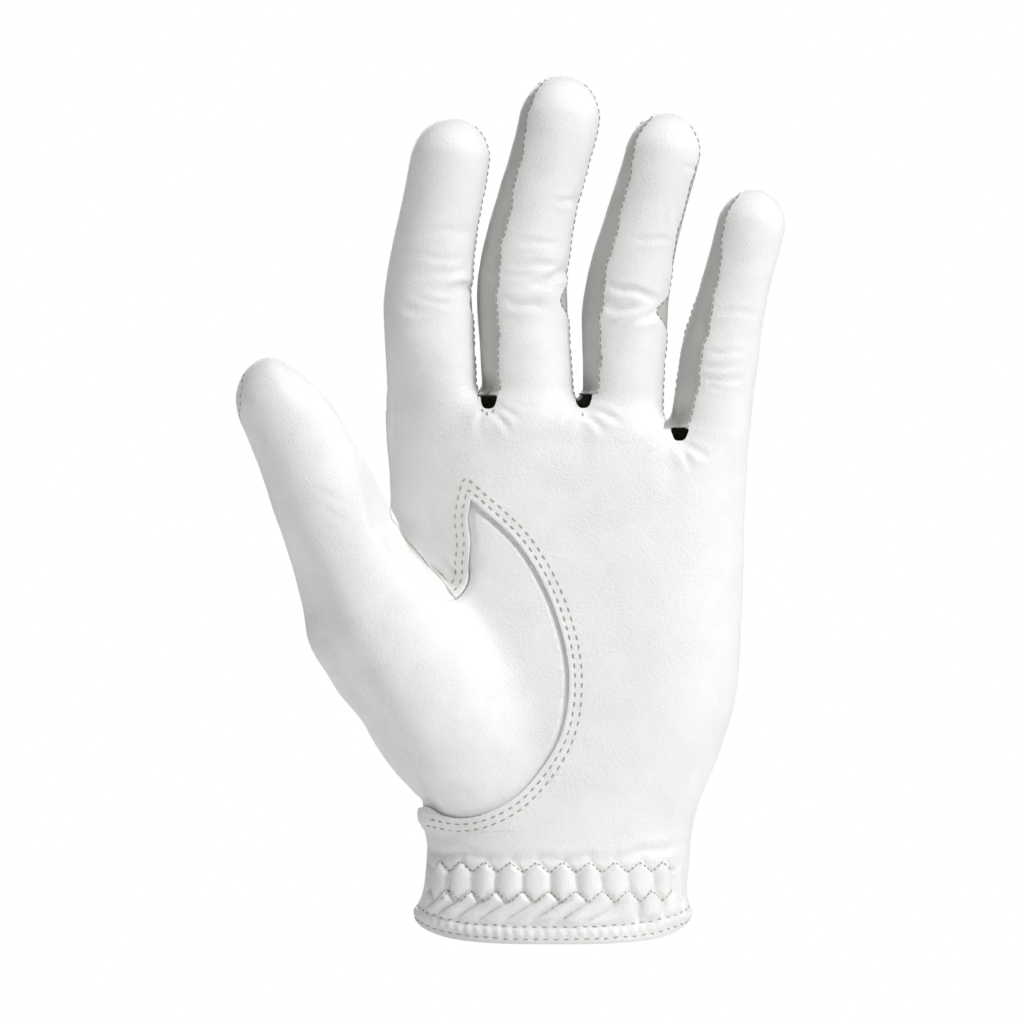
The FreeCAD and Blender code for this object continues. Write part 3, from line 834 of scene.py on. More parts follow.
# The same for the back: knuckles and the folds over the middle joints.
BACK_CREASES = [
    (-36.5, 163.0, -25.5, 164.0, 1.2, 0.4), (-36.0, 159.6, -25.0, 160.4, 1.0, 0.3),
    (-13.0, 164.8, -2.0, 166.0, 1.2, 0.4), (-12.6, 161.2, -2.4, 162.0, 1.0, 0.3),
    (14.0, 161.6, 25.0, 160.0, 1.2, 0.4), (13.6, 157.8, 24.4, 156.6, 1.0, 0.3),
    (38.0, 149.0, 47.6, 147.2, 1.1, 0.36), (37.0, 145.6, 46.6, 144.2, 1.0, 0.3),
    (-62.0, 116.0, -51.0, 111.0, 1.1, 0.35), (-26.0, 27.0, -8.0, 33.0, 1.6, 0.4),
    (34.0, 30.0, 26.0, 42.0, 1.6, 0.35), (-34.0, 60.0, -24.0, 66.0, 2.2, 0.4),
]
BACK_SWELLS = [
    (-30.0, 131.0, 8.0, 7.0, 0.7), (-7.0, 133.0, 8.0, 7.0, 0.8), (17.0, 130.0, 8.0, 7.0, 0.7),
    (38.0, 123.0, 7.5, 7.0, 0.6), (-18.5, 128.0, 3.0, 8.0, -0.5), (5.0, 128.0, 3.0, 8.0, -0.5),
    (28.0, 123.0, 3.0, 8.0, -0.5), (2.0, 66.0, 7.0, 8.0, 0.5),
]


def curve_through(spots, count):
    """Evenly spread points on a smooth curve through the given ones."""
    spots = np.array(spots)
    reach = np.append(0, np.cumsum(np.linalg.norm(np.diff(spots, axis=0), axis=1)))
    t = np.linspace(0, reach[-1], count)
    return np.stack([smooth_curve(reach, column)(t) for column in spots.T], 1)


def beyond(p, place, way):
    """Distance past a line in the XZ plane, measured along way."""
    return (p[:, [0, 2]] - place) @ way


def turned(way):
    return np.array([way[1], -way[0]])


THUMB_ARC, THUMB_BRANCH = curve_through(ARC, 60), curve_through(BRANCH, 24)
THUMB_OUTLINE = np.vstack(
    [THUMB_BRANCH[::-1], THUMB_ARC[1:], [(-100, 31)], [(-100, 190)], [WEB + 60 * THUMB_GAP], [WEB]]
)
VALLEY_WAY = turned(unit(WEB - CROTCH))  # towards the hand
BEYOND_WEB_WAY = turned(THUMB_GAP)
INDEX_WAY = -turned(unit(INDEX_EDGE - CROTCH))  # towards the thumb
thumb_along = unit(thumb.along[[0, 2]])
THUMB_START = float((CROTCH - thumb.origin[[0, 2]]) @ thumb_along)
WEB_REACH = float((WEB - thumb.origin[[0, 2]]) @ thumb_along)
WEB_SHARE = 0.75  # how much of the thumb root's blend lies before the web
THUMB_CUT = THUMB_START + (WEB_REACH - THUMB_START) / WEB_SHARE
THUMB_UPPER_END = 2 * thumb.middle - THUMB_CUT + 6
INDEX_REACH = float((WEB - CROTCH) @ INDEX_WAY) / WEB_SHARE


def outline_distance(x, z, outline):
    """Distance from a closed outline, under 0 inside it."""
    best = np.full(len(x), 1e9)
    inside = np.zeros(len(x), bool)
    for (ax, az), (bx, bz) in zip(outline, np.roll(outline, -1, axis=0)):
        dx, dz = bx - ax, bz - az
        t = np.clip(((x - ax) * dx + (z - az) * dz) / (dx * dx + dz * dz + 1e-12), 0, 1)
        best = np.minimum(best, (x - ax - t * dx) ** 2 + (z - az - t * dz) ** 2)
        crosses = (az > z) != (bz > z)
        inside ^= crosses & (x < ax + (z - az) * dx / (dz if dz else 1e-12))
    return np.where(inside, -1, 1) * np.sqrt(best)


def thumb_side(p):
    """Under 0 on the thumb's side of the valley between thumb and hand."""
    return np.minimum(beyond(p, CROTCH, VALLEY_WAY), beyond(p, WEB, BEYOND_WEB_WAY))


def thumb_reach(p):
    return beyond(p, thumb.origin[[0, 2]], thumb_along)


def thumb_area(p):
    return outline_distance(p[:, 0], p[:, 2], THUMB_OUTLINE)


def thumb_part(p):
    return np.maximum(thumb_side(p), THUMB_START - thumb_reach(p))


def web_part(p):
    return np.maximum(-thumb_side(p), -beyond(p, CROTCH, INDEX_WAY))


def root_part(p):
    return -np.minimum(thumb_part(p), web_part(p))


def thumb_seam_behind(s):
    """How far the thumb's outer seam lies behind its middle: under 0 beside the tip."""
    before = 4.0 * ramp(thumb.tip - s, 0, 4)
    return (THUMB_SEAM_BEHIND + before) * ramp(thumb.tip - s, 8, 18) - before


def split_y(p):
    """The y of the line between the palm side's leather and the back's."""
    hand = THUMB_SEAM_Y + (SIDE_SEAM_Y - THUMB_SEAM_Y) * ramp(p[:, 0], -20, 20)
    s = thumb_reach(p)
    on_thumb = ramp(s, THUMB_START - 8, THUMB_START + 14) * ramp(-thumb_side(p), -2, 4)
    behind = thumb_seam_behind(s)
    return hand * (1 - on_thumb) + (thumb.origin[1] + thumb.centre_b(s) + behind) * on_thumb


def before_split(p):
    return p[:, 1] - split_y(p)


def behind_split(p):
    return split_y(p) - p[:, 1]


def hem_edge(y):
    return HEM_RISE * ramp(y, -21.5, 2.0)


def hem_height(p):
    return p[:, 2] - hem_edge(p[:, 1])


def slit_distance(p):
    """Distance outside the slit in the back; a large value on the palm side."""
    down = np.minimum(p[:, 2] - (SLIT_TOP - SLIT_HALF), 0)
    radial = np.hypot(p[:, 0] - SLIT_X, p[:, 2] - (SLIT_TOP - SLIT_HALF) - down) - SLIT_HALF
    return np.where(p[:, 1] > 0, radial, 99.0)


def vent_distance(p):
    """Distance outside the small holes in the finger crotches, each narrower at its foot."""
    near = np.full(len(p), 99.0)
    for x, z in VENTS:
        up = np.clip((p[:, 2] - z) / VENT_TALL, -1.5, 1.5)
        half = VENT_NARROW + (VENT_WIDE - VENT_NARROW) * (up + 1) / 2
        near = np.minimum(near, soft_max(np.abs(p[:, 0] - x) - half, np.abs(p[:, 2] - z) - VENT_TALL, 0.9))
    return np.where(p[:, 1] < 1.0, near, 99.0)


# Relief: how far the leather stands out from its form -----------------------------------------
def crease(x, z, spec):
    ax, az, bx, bz, width, depth = spec
    length = math.hypot(bx - ax, bz - az)
    along = ((x - ax) * (bx - ax) + (z - az) * (bz - az)) / length
    off = ((x - ax) * (az - bz) + (z - az) * (bx - ax)) / length
    off = off + 0.3 * width * np.sin(along * 0.55 + ax)
    width = 0.8 * width
    shown = ramp(along, -0.08 * length, 0.3 * length) * ramp(length - along, -0.08 * length, 0.3 * length)
    side = bell(np.abs(off) - 2.2 * width, 1.2 * width)
    return depth * shown * (0.42 * side - bell(off, width))


def swell(x, z, spec):
    cx, cz, half_x, half_z, lift = spec
    return lift * np.exp(-(((x - cx) / half_x) ** 2) - ((z - cz) / half_z) ** 2)


def side_relief(p, creases, swells):
    x, z = p[:, 0], p[:, 2]
    total = np.zeros(len(p))
    for spec in creases:
        total += crease(x, z, spec)
    for spec in swells:
        total += swell(x, z, spec)
    return total


ZIGZAG_PITCH, UPPER_ROW, LOWER_ROW = 6.6, 18.9, 11.7
UPPER_RISE, LOWER_RISE = 1.28, 1.4
FIRST_PEAK = 1.5
CUFF_HALF = 30.0


def wrist_table():
    """Distance round the wrist from its front, by angle."""
    w, t = float(palm.half_w(15.0)), float(palm.half_t(15.0))
    turn = np.linspace(-math.pi, math.pi, 721)
    rate = np.hypot(w * np.cos(turn), t * np.sin(turn))
    reach = np.append(0, np.cumsum((rate[1:] + rate[:-1]) / 2 * np.diff(turn)))
    return turn, reach - np.interp(0, turn, reach), w, t


WRIST_TURN, WRIST_REACH, WRIST_W, WRIST_T = wrist_table()


def round_wrist(p):
    turn = np.arctan2((p[:, 0] - palm.centre(p[:, 2])) / WRIST_W, -p[:, 1] / WRIST_T)
    return np.interp(turn, WRIST_TURN, WRIST_REACH)


def wave(reach, pitch):
    """A triangle wave: 1 at the first peak, -1 half a pitch on."""
    phase = (reach - FIRST_PEAK) / pitch
    return 1 - 4 * np.abs(phase - np.round(phase))


def from_nearest(reach, first, pitch):
    phase = (reach - first) / pitch
    return np.abs(phase - np.round(phase)) * pitch


def pillow(gap, pitch, height, valley):
    """Puffed leather between two valleys, by distance from the nearer one."""
    u = np.clip(gap / (pitch / 2), 0, 1)
    return height * (1 - (1 - u) ** 2) - valley * bell(gap, 0.75)


def upper_row(reach):
    return UPPER_ROW + UPPER_RISE * wave(reach, ZIGZAG_PITCH)


def lower_row(reach):
    return LOWER_ROW - LOWER_RISE * wave(reach, ZIGZAG_PITCH)


def cuff_relief(p):
    reach, z = round_wrist(p), p[:, 2]
    shown = ramp(CUFF_HALF + 3 - np.abs(p[:, 0]), 0, 3.5) * ramp(-p[:, 1], -2, 4)
    half = ZIGZAG_PITCH / 2
    uneven = 1 + 0.3 * ripple(p, 9, 11)
    above, below = z - upper_row(reach), lower_row(reach) - z
    rows = -0.34 * bell(above, 0.45) - 0.34 * bell(below, 0.45)
    tilted = reach + 0.16 * (z - 15) + 0.3 * np.sin(reach * 0.7)
    cell = pillow(from_nearest(tilted, FIRST_PEAK + half, ZIGZAG_PITCH), ZIGZAG_PITCH, 1.15, 0.35)
    cell = cell * (0.45 + 0.55 * ramp(-above, 0, 1.6)) * (0.45 + 0.55 * ramp(-below, 0, 1.6))
    cell = cell * ramp(-above, -0.5, 0.3) * ramp(-below, -0.5, 0.3)
    lean = 1.35 - 1.25 * ramp(reach, 8, 19)
    swept = reach + lean * np.maximum(LOWER_ROW - LOWER_RISE - z, 0)
    fold = pillow(from_nearest(swept, FIRST_PEAK, ZIGZAG_PITCH), ZIGZAG_PITCH, 1.35, 0.65)
    fold = fold * ramp(below, -0.3, 0.9) * ramp(hem_height(p), HEM_BAND - 1.4, HEM_BAND + 1.0)
    gather = -0.28 * bell(from_nearest(reach, FIRST_PEAK, ZIGZAG_PITCH), 1.1) * ramp(above, 0, 0.8)
    gather = gather + 0.22 * ramp(above, 0, 1.0)
    gather = gather * ramp(UPPER_ROW + 6 - z, 0, 4.5)
    return shown * (rows + uneven * (cell + fold + gather))


HEM_ROWS = (1.3, 4.3)
HEM_PITCH = 2.45


def hem_relief(p):
    h = hem_height(p)
    reach = round_wrist(p)
    middle, half = sum(HEM_ROWS) / 2, (HEM_ROWS[1] - HEM_ROWS[0]) / 2
    bead = 0.6 + 0.4 * np.cos(2 * math.pi * (reach + 0.6) / HEM_PITCH)
    band = 0.42 * bead * np.clip(1 - ((h - middle) / half) ** 2, 0, 1)
    rows = sum(-0.28 * bell(h - row, 0.5) for row in HEM_ROWS)
    lip = -0.9 * np.clip(1 - h / 1.1, 0, 1) ** 2
    flare = bell(p[:, 2] - 6.5, 4.0) * ramp(np.abs(p[:, 0] + 0.5), 18, 33)
    flare = flare * (1.1 + 0.5 * ramp(p[:, 0], 0, 9))
    band = (band + rows) * ramp(HEM_BAND + 1 - h, 0, 1)
    return band + lip + flare + 0.25 * ramp(HEM_BAND + 1 - h, 0, 2)


def side_turn(p):
    """The hand's palm side curves away towards the heel and behind the thumb's ball."""
    x, z = p[:, 0], p[:, 2]
    right = np.clip((x - 30) / 18, 0, 1.1) ** 2 * ramp(z, 30, 60) * ramp(128 - z, 0, 14)
    off = beyond(p, BALL_RIDGE, BALL_WAY)
    ball_left = np.clip((off + 5) / 14, 0, 1.3) ** 2 * ramp(z, 28, 38) * ramp(104 - z, 0, 14)
    return -0.8 * right - 4.2 * ball_left


def valley_lip(p):
    """The rounded edge of the thumb's leather along its valley with the hand's."""
    side = thumb_side(p)
    return 0.55 * bell(side + 2.2, 1.3) * ramp(-side, 0.6, 1.6) * valley_shown(p)


def valley_shown(p):
    """1 along the valley between thumb and hand, fading out at its ends."""
    along = beyond(p, CROTCH, unit(WEB - CROTCH))
    return ramp(along, -1.5, 4.0) * ramp(p[:, 2], 80, 84) * ramp(112 - p[:, 2], 0, 8)


def ball_taper(p):
    """The ball of the thumb is slimmer, low down, than its CAD form."""
    off = beyond(p, BALL_RIDGE, BALL_WAY)
    return -3.0 * ramp(off, 0, 8) * ramp(p[:, 2], 30, 34) * ramp(66 - p[:, 2], 0, 14)


def tip_taper(p, n):
    """The thumb's tip is narrower than its CAD form on the side towards the hand."""
    s = thumb_reach(p)
    inner = n[:, [0, 2]] @ turned(thumb_along)
    on_thumb = ramp(-thumb_side(p), 2, 6)
    return -2.5 * ramp(s, thumb.tip - 19, thumb.tip - 6) * ramp(inner, 0.05, 0.85) * on_thumb


def fall_back(p):
    """How far the palm side lies back, in y, below the index finger and beside the valley."""
    x, y, z = p.T
    side = thumb_side(p)
    depth = np.maximum(SIDE_SEAM_Y - 2 - y, 0)
    share = 0.62 * np.clip((-16 - x) / 24, 0, 1) ** 1.6 * ramp(z, 76, 92) * ramp(152 - z, 0, 20)
    on_thumb = ramp(side, -6.0, 0.0) * (1 - ramp(z, 109.0, 126.0))
    near = np.where(side < 0, on_thumb, 1.0)
    valley = 5.0 * bell(np.maximum(side, 0), 8.0) * valley_shown(p)
    return near * (depth * share + valley * np.clip(depth / 8, 0, 1) * (1 - share))


def relief(p, n):
    front = ramp(-n[:, 1], -0.1, 0.4)
    back = ramp(n[:, 1], 0.0, 0.5)
    total = 0.12 * ripple(p, 16, 3) + 0.05 * ripple(p, 5, 4)
    total += front * side_relief(p, CREASES, SWELLS)
    total += back * side_relief(p, BACK_CREASES, BACK_SWELLS)
    facing = ramp(-n[:, 1], 0.04, 0.6)
    total += facing * side_turn(p) * ramp(p[:, 2], CUFF_TOP, CUFF_TOP + 4)
    total += front * valley_lip(p) + tip_taper(p, n) + ball_taper(p)
    low = p[:, 2] < CUFF_TOP + 1
    total[low] += cuff_relief(p[low]) + hem_relief(p[low])
    return total


# Edge profiles: the lift at a distance from the seam --------------------------------------------
def over_edge(gap):
    return 0.16 * bell(gap, 3.0) - 0.3 * bell(gap, 0.33) - 0.1 * bell(gap - 1.0, 0.4)


def under_edge(gap):
    """A gusset lies below the leather beside it, a little deeper away from the seam."""
    return -0.42 - 0.1 * ramp(gap, 0.4, 3.0)


def foot_roll(gap):
    """The folded end of a gusset above its vent hole."""
    return 0.6 * bell(gap - 0.35, 0.5)


def butt_edge(gap):
    return 0.12 * bell(gap - 1.4, 0.9) - 0.42 * bell(gap, 0.45)


def palm_over_edge(gap):
    rows = -0.16 * bell(gap - THUMB_ROWS[0], 0.45) - 0.16 * bell(gap - THUMB_ROWS[1], 0.45)
    return 0.5 * bell(gap, 5.0) - 0.12 * bell(gap, 0.3) + rows


def thumb_under_edge(gap):
    return -0.72 * (1 - ramp(gap, 0.5, 2.8))


THUMB_ROWS = (1.5, 3.2)  # stitch rows outside the thumb piece's edge
TUCK = 0.6  # how far an under piece reaches below the one over it
FAR_SIDE = 5.0  # a field's value where a line doesn't count, well under 0


# Gussets ----------------------------------------------------------------------------------------
class GussetLine:
    """A finger's gusset on one side: where its two seams run round the finger."""

    SHARES = (0.0, 0.22, 0.42, 0.62, 0.84, 1.0)
    PALM_EDGE = {
        ("index", 1): (86, 85, 82, 80, 80, 80),
        ("middle", -1): (38, 34, 34, 37, 47, 52),
        ("middle", 1): (86, 84, 79, 77, 80, 82),
        ("ring", -1): (38, 34, 34, 37, 47, 52),
        ("ring", 1): (85, 80, 73, 67, 66, 72),
        ("little", -1): (31, 27, 27, 34, 48, 52),
    }
    WIDTH = {-1: (84, 84, 82, 78, 68, 62), 1: (54, 56, 64, 64, 56, 50)}
    PINCH = {"index": 18, "middle": 30, "ring": 26, "little": 0}

    def __init__(self, name, side, foot):
        self.limb, self.side, self.foot = limbs[name], side, foot
        self.palm_edge_of = smooth_curve(self.SHARES, self.PALM_EDGE[name, side])
        self.pinch = self.PINCH[name] if side > 0 else 0
        self.width_of = smooth_curve(self.SHARES, self.WIDTH[side])
        self.seed = FINGERS.index(name) + 3 * side

    def palm_edge(self, s):
        """Degrees from the palm side, with a pinch at the middle fold and a slight wander."""
        u = s / self.limb.tip
        pinch = self.pinch * bell(s - self.limb.middle - 1.2, 3.4)
        wander = 1.6 * np.sin(s * 0.42 + self.seed) + 1.0 * np.sin(s * 0.97 + 2 * self.seed)
        return self.palm_edge_of(u) - pinch + wander

    def back_edge(self, s):
        return self.palm_edge(s) + self.width_of(s / self.limb.tip)

    def measures(self, p):
        """Where points lie: reach along the limb, degrees round it to this side, mm a degree."""
        s, _, _ = self.limb.local(p)
        over = np.clip((s - self.limb.neck) / self.limb.dome, 0, 0.99)
        w, t = self.limb.sizes(s)
        scale = (w + t) / 2 * np.sqrt(1 - over**2) * math.pi / 180
        return s, self.limb.angle(p) * self.side, scale

    def distance(self, p):
        """Distance from the gusset's outline, under 0 inside it."""
        s, turn, scale = self.measures(p)
        across = np.maximum(self.palm_edge(s) - turn, turn - self.back_edge(s)) * scale
        ends = np.maximum(self.foot - p[:, 2], s - (self.limb.tip - 1.2))
        return soft_max(across, ends, 1.0)

    def foot_hollow(self, p):
        """How far the gusset's foot lies back, in y."""
        s, turn, scale = self.measures(p)
        within = np.minimum(turn - self.palm_edge(s), self.back_edge(s) - turn) * scale
        return 3.4 * ramp(within, 0.3, 3.0) * (1 - ramp(p[:, 2] - self.foot, 0.0, 7.0))

    def past_middle(self, p, way):
        """How far past the gusset's middle line, way 1 towards the back and -1 towards the palm."""
        s, turn, scale = self.measures(p)
        past = (turn - (self.palm_edge(s) + self.back_edge(s)) / 2) * scale
        return np.where(turn > 0, way * past, -FAR_SIDE)

    def seam(self, low, high, edge, inset):
        """Points beside one of the seams: inset is away from the gusset, in millimetres."""
        s = np.linspace(low, high, 260)
        _, _, scale = self.measures(self.limb.point(s, 0.0))
        if edge == "palm":
            turn = self.palm_edge(s) - inset / np.maximum(scale, 0.03)
        else:
            turn = self.back_edge(s) + inset / np.maximum(scale, 0.03)
        return self.limb.point(s, self.side * turn)


GUSSET_LINES = {
    name: {
        side: GussetLine(name, side, foot) for side, foot in zip(GUSSETS[name], GUSSET_FOOT[name])
    }
    for name in FINGERS
}
OUTER_EDGE = {"index": (-1, 100.0), "little": (1, 117.0)}  # sides with no gusset


def plain_side(name, p, way):
    """Past the line between palm side and back, on a side without a gusset."""
    side, degrees = OUTER_EDGE[name]
    s, _, _ = limbs[name].local(p)
    w, t = limbs[name].sizes(s)
    turn = limbs[name].angle(p) * side
    return np.where(turn > 0, way * (turn - degrees) * (w + t) / 2 * math.pi / 180, -FAR_SIDE)


def finger_half(name, way):
    """A field under 0 on a finger's palm side leather (way 1) or its back's (way -1)."""

    def field(p):
        parts = []
        for line in GUSSET_LINES[name].values():
            parts.append(np.maximum(-line.distance(p), line.past_middle(p, way)))
        if name in OUTER_EDGE:
            parts.append(plain_side(name, p, way))
        return np.max(parts, 0)

    return field


def gusset_gap(name):
    """Distance outside a finger's gussets."""
    return lambda p: np.min([line.distance(p) for line in GUSSET_LINES[name].values()], 0)


# Pieces -----------------------------------------------------------------------------------------
SURFACES = {}  # where stitches are laid: name of a piece of leather to its surface


def keep_surface(name, skin):
    polygons = [[v for v in f if v >= 0] for f in skin.faces.tolist()]
    SURFACES[name] = BVHTree.FromPolygons(skin.points.tolist(), polygons)


def place(made, bodies, zone=None):
    """Rides a piece on one body; given a zone in millimetres, it only bakes the piece's transform into its mesh.
    """
    if zone is None:
        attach(made, bodies[0])
    else:
        start, end = (tuple(np.asarray(v, float) / 1000) for v in zone)
        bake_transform(made)
        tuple(start)
        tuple(end)


def leather_piece(name, skin, bodies, zone=None, nodes=(), gusset=False, thickness=LEATHER):
    if len(skin.faces) == 0:
        return
    keep_surface(name, skin)
    # Gusset pieces take the darker leather: painted shade between the fingers.
    outside = gusset_leather if gusset else leather
    made = add_sheet(name, skin, thickness, (outside, suede))
    place(made, bodies, zone)
    if nodes:
        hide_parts(*nodes)


JOIN = smooth_curve([-60, 10, 18, 30, 60], [131.2, 131.2, 128.0, 123.4, 123.4])


def above_join(p):
    return JOIN(p[:, 0]) - p[:, 2]


def below_join(p):
    return p[:, 2] - JOIN(p[:, 0])


def neighbour_field(name):
    k = FINGERS.index(name)
    others = [limbs[FINGERS[n]] for n in (k - 1, k + 1) if 0 <= n < len(FINGERS)]
    mine = limbs[name]
    return lambda p: mine.distance(p) - np.min([o.distance(p) for o in others], 0)


def node_corners(names, margin):
    points = np.vstack([cad_arrays(n)[0] for n in names])
    return points.min(0) - margin, points.max(0) + margin


LOWER_END = 0.56  # where the root's blend ends, as a share of the way to the middle fold
LOWER_CUT = 0.6
UPPER_START, UPPER_END = 0.62, 1.38
LIFT_OFF = {"index": 0.3, "middle": 0.3, "ring": 1.5, "little": 1.0}  # where the root's blend starts


def limb_place(limb, s):
    return limb.origin + limb.along * s


def finger_zones(name):
    """The blend zones of a finger's two lengths."""
    limb = limbs[name]
    lower = (limb_place(limb, LIFT_OFF[name]), limb_place(limb, LOWER_END * limb.middle))
    upper = (
        limb_place(limb, UPPER_START * limb.middle),
        limb_place(limb, UPPER_END * limb.middle),
    )
    return lower, upper


def perforations(name):
    """Places of the small air holes on a finger's back."""
    limb = limbs[name]
    spots = [(share * limb.tip, turn) for share in (0.16, 0.26, 0.36) for turn in (165, 180, 195)]
    return np.array([limb.point(np.array(s), t) for s, t in spots])


def punched(spots, radius=0.75):
    """A field that cuts round holes about the given places."""

    def field(p):
        nearest = np.full(len(p), 99.0)
        for spot in spots:
            nearest = np.minimum(nearest, np.linalg.norm(p - spot, axis=1))
        return radius - nearest

    return field


def build_finger(name):
    limb = limbs[name]
    bodies = (("hand", limb.segments[0]), tuple(limb.segments))
    nodes = [n for s in limb.segments for n in frame["record"]["behaviour"]["bodies"][s]]
    low, high = node_corners(nodes, 5)
    low[2] -= 9
    whole = lifted(skin_of(finger_form(name), low, high), relief, fall_back)
    whole = clip(whole, above_join, neighbour_field(name), lambda p: -vent_distance(p))
    gap = gusset_gap(name)
    parts = {
        "palm_side": edged(clip(whole, finger_half(name, 1)), gap, over_edge),
        "back_side": clip(whole, finger_half(name, -1), punched(perforations(name))),
    }
    parts["back_side"] = edged(parts["back_side"], gap, over_edge)
    if name == "little":
        for key in ("palm_side", "back_side"):
            parts[key] = edged(parts[key], lambda p: np.abs(plain_side(name, p, 1)), butt_edge)
    for side, line in GUSSET_LINES[name].items():
        inside = clip(whole, lambda p: line.distance(p) - TUCK)
        inside = edged(inside, lambda p: -line.distance(p), under_edge)
        inside = laid_back(inside, line.foot_hollow)
        inside = edged(inside, lambda p: p[:, 2] - line.foot, foot_roll)
        parts["outer_gusset" if side > 0 else "thumbside_gusset"] = inside
    cut = limb.middle * LOWER_CUT
    for key, skin in parts.items():
        for segment, pair, zone, way in zip(limb.segments, bodies, finger_zones(name), (1, -1)):
            part = clip(skin, lambda p: way * (limb.local(p)[0] - cut))
            node = f"{segment}_{key}"
            leather_piece(node + "_leather", part, pair, zone, (node,), "gusset" in key)


THUMB_ZONES = (
    (limb_place(thumb, THUMB_START), limb_place(thumb, THUMB_CUT)),
    (limb_place(thumb, THUMB_CUT), limb_place(thumb, THUMB_UPPER_END)),
)
WEB_ZONE = (
    np.array([CROTCH[0], 0, CROTCH[1]]),
    np.array([CROTCH[0] + INDEX_WAY[0] * INDEX_REACH, 0, CROTCH[1] + INDEX_WAY[1] * INDEX_REACH]),
)
THUMB_HOLES_Y = -3.6
THUMB_HOLES = [(-61.4, 85.8), (-60.0, 79.7), (-58.6, 73.6), (-57.4, 67.5)]


def outer_seam_gap(p):
    """Distance from the seam down the outer side of thumb and hand, large on the inner side."""
    inner = thumb.local(p)[1] > 0
    inner = np.where(thumb_reach(p) > THUMB_START, inner, p[:, 0] > 0)
    return np.where(inner, 9.0, np.abs(p[:, 1] - split_y(p)))


def side_seam_gap(p):
    """Distance from the seam down the little finger's side of the hand."""
    return np.where(p[:, 0] > 20, np.abs(p[:, 1] - split_y(p)), 9.0)


def hand_skin():
    """The hand below the fingers, in a coarse part and a fine one at the cuff."""
    low = np.array(CAD_BOX[0]) * 1000 - 4
    high = np.array([58, 26, 140])
    top = low.copy()
    top[2] = CUFF_TOP - 4
    upper = lifted(skin_of(hand_form, top, high), relief, fall_back)
    upper = clip(upper, below_join, lambda p: CUFF_TOP - p[:, 2], lambda p: -vent_distance(p))
    bottom = high.copy()
    bottom[2] = CUFF_TOP + 4
    cuff = lifted(skin_of(hand_form, low, bottom, CUFF_GRID), relief, fall_back)
    cuff = clip(cuff, lambda p: p[:, 2] - CUFF_TOP, lambda p: -hem_height(p))
    return upper, cuff


def hand_perforations():
    """Air holes over the knuckles and beside the thumb."""
    spots = [(x, THUMB_HOLES_Y, z) for x, z in THUMB_HOLES]
    for name in FINGERS:
        root = limbs[name].point(np.array(-9.0), 180.0)
        for step in (-4.5, 0.0, 4.5):
            spots.append((root[0] + step, root[1], root[2] - abs(step) * 0.25))
    return [settle(hand_form, np.array([spot], float), 12)[0][0] for spot in spots]


HAND = ("hand",)
WEB_BODIES = ("hand", thumb.segments[0])
HEM_THICKNESS = 1.7


def outside_thumb(p):
    return -thumb_area(p)


def outside_slit(p):
    return -slit_distance(p)


def above_hem(p):
    return HEM_BAND - hem_height(p)


def in_hem(p):
    return hem_height(p) - HEM_BAND


def palm_edge_gap(p):
    """The distance from the thumb piece's edge, kept far behind the hand, where it has none."""
    return np.abs(thumb_area(p)) + 9 * (p[:, 1] > 0)


def build_palm(front):
    """The palm and the thumb's base, each cut from the palm side of the hand's skin."""
    area = edged(clip(front, outside_thumb), palm_edge_gap, palm_over_edge)
    area = edged(area, side_seam_gap, butt_edge)
    base = clip(front, lambda p: thumb_area(p) - TUCK)
    base = edged(base, outside_thumb, thumb_under_edge)
    base = edged(base, outer_seam_gap, butt_edge)
    leather_piece("palm_leather", clip(area, root_part), HAND, None, ("palm_panel",))
    leather_piece("palm_web_leather", clip(area, web_part), WEB_BODIES, WEB_ZONE)
    leather_piece("thumb_base_leather", clip(base, root_part), HAND, None, ("thumb_base_panel",))


def build_back(rear):
    rear = edged(rear, side_seam_gap, butt_edge)
    rear = edged(rear, outer_seam_gap, butt_edge)
    leather_piece("back_leather", clip(rear, root_part), HAND, None, ("back_panel",))
    leather_piece("back_web_leather", clip(rear, web_part), WEB_BODIES, WEB_ZONE)


def build_cuff(cuff):
    front = clip(clip(cuff, above_hem, before_split), outside_thumb)
    front = edged(front, side_seam_gap, butt_edge)
    back = edged(clip(cuff, above_hem, behind_split), side_seam_gap, butt_edge)
    leather_piece("palm_cuff_leather", front, HAND)
    leather_piece("back_cuff_leather", back, HAND)
    hem = clip(cuff, in_hem)
    leather_piece("cuff_hem_leather", hem, HAND, None, ("cuff_hem",), thickness=HEM_THICKNESS)


def build_hand():
    upper, cuff = hand_skin()
    build_palm(clip(upper, before_split))
    build_back(clip(upper, behind_split, outside_slit, punched(hand_perforations())))
    build_cuff(clip(cuff, outside_slit))


def build_thumb():
    names = [n for s in thumb.segments for n in frame["record"]["behaviour"]["bodies"][s]]
    low, high = node_corners(names, 5)
    low -= [0, 0, 14]
    high += [24, 10, 0]
    whole = lifted(skin_of(thumb_form, low, high), relief, fall_back)
    whole = clip(whole, thumb_part, punched(hand_perforations()[: len(THUMB_HOLES)]))
    halves = {"palm_side": clip(whole, before_split), "back_side": clip(whole, behind_split)}
    bodies = (("hand", thumb.segments[0]), tuple(thumb.segments))
    for key, skin in halves.items():
        skin = edged(skin, outer_seam_gap, butt_edge)
        for segment, pair, zone, way in zip(thumb.segments, bodies, THUMB_ZONES, (1, -1)):
            part = clip(skin, lambda p: way * (thumb_reach(p) - THUMB_CUT))
            node = f"{segment}_{key}"
            leather_piece(node + "_leather", part, pair, zone, (node,))


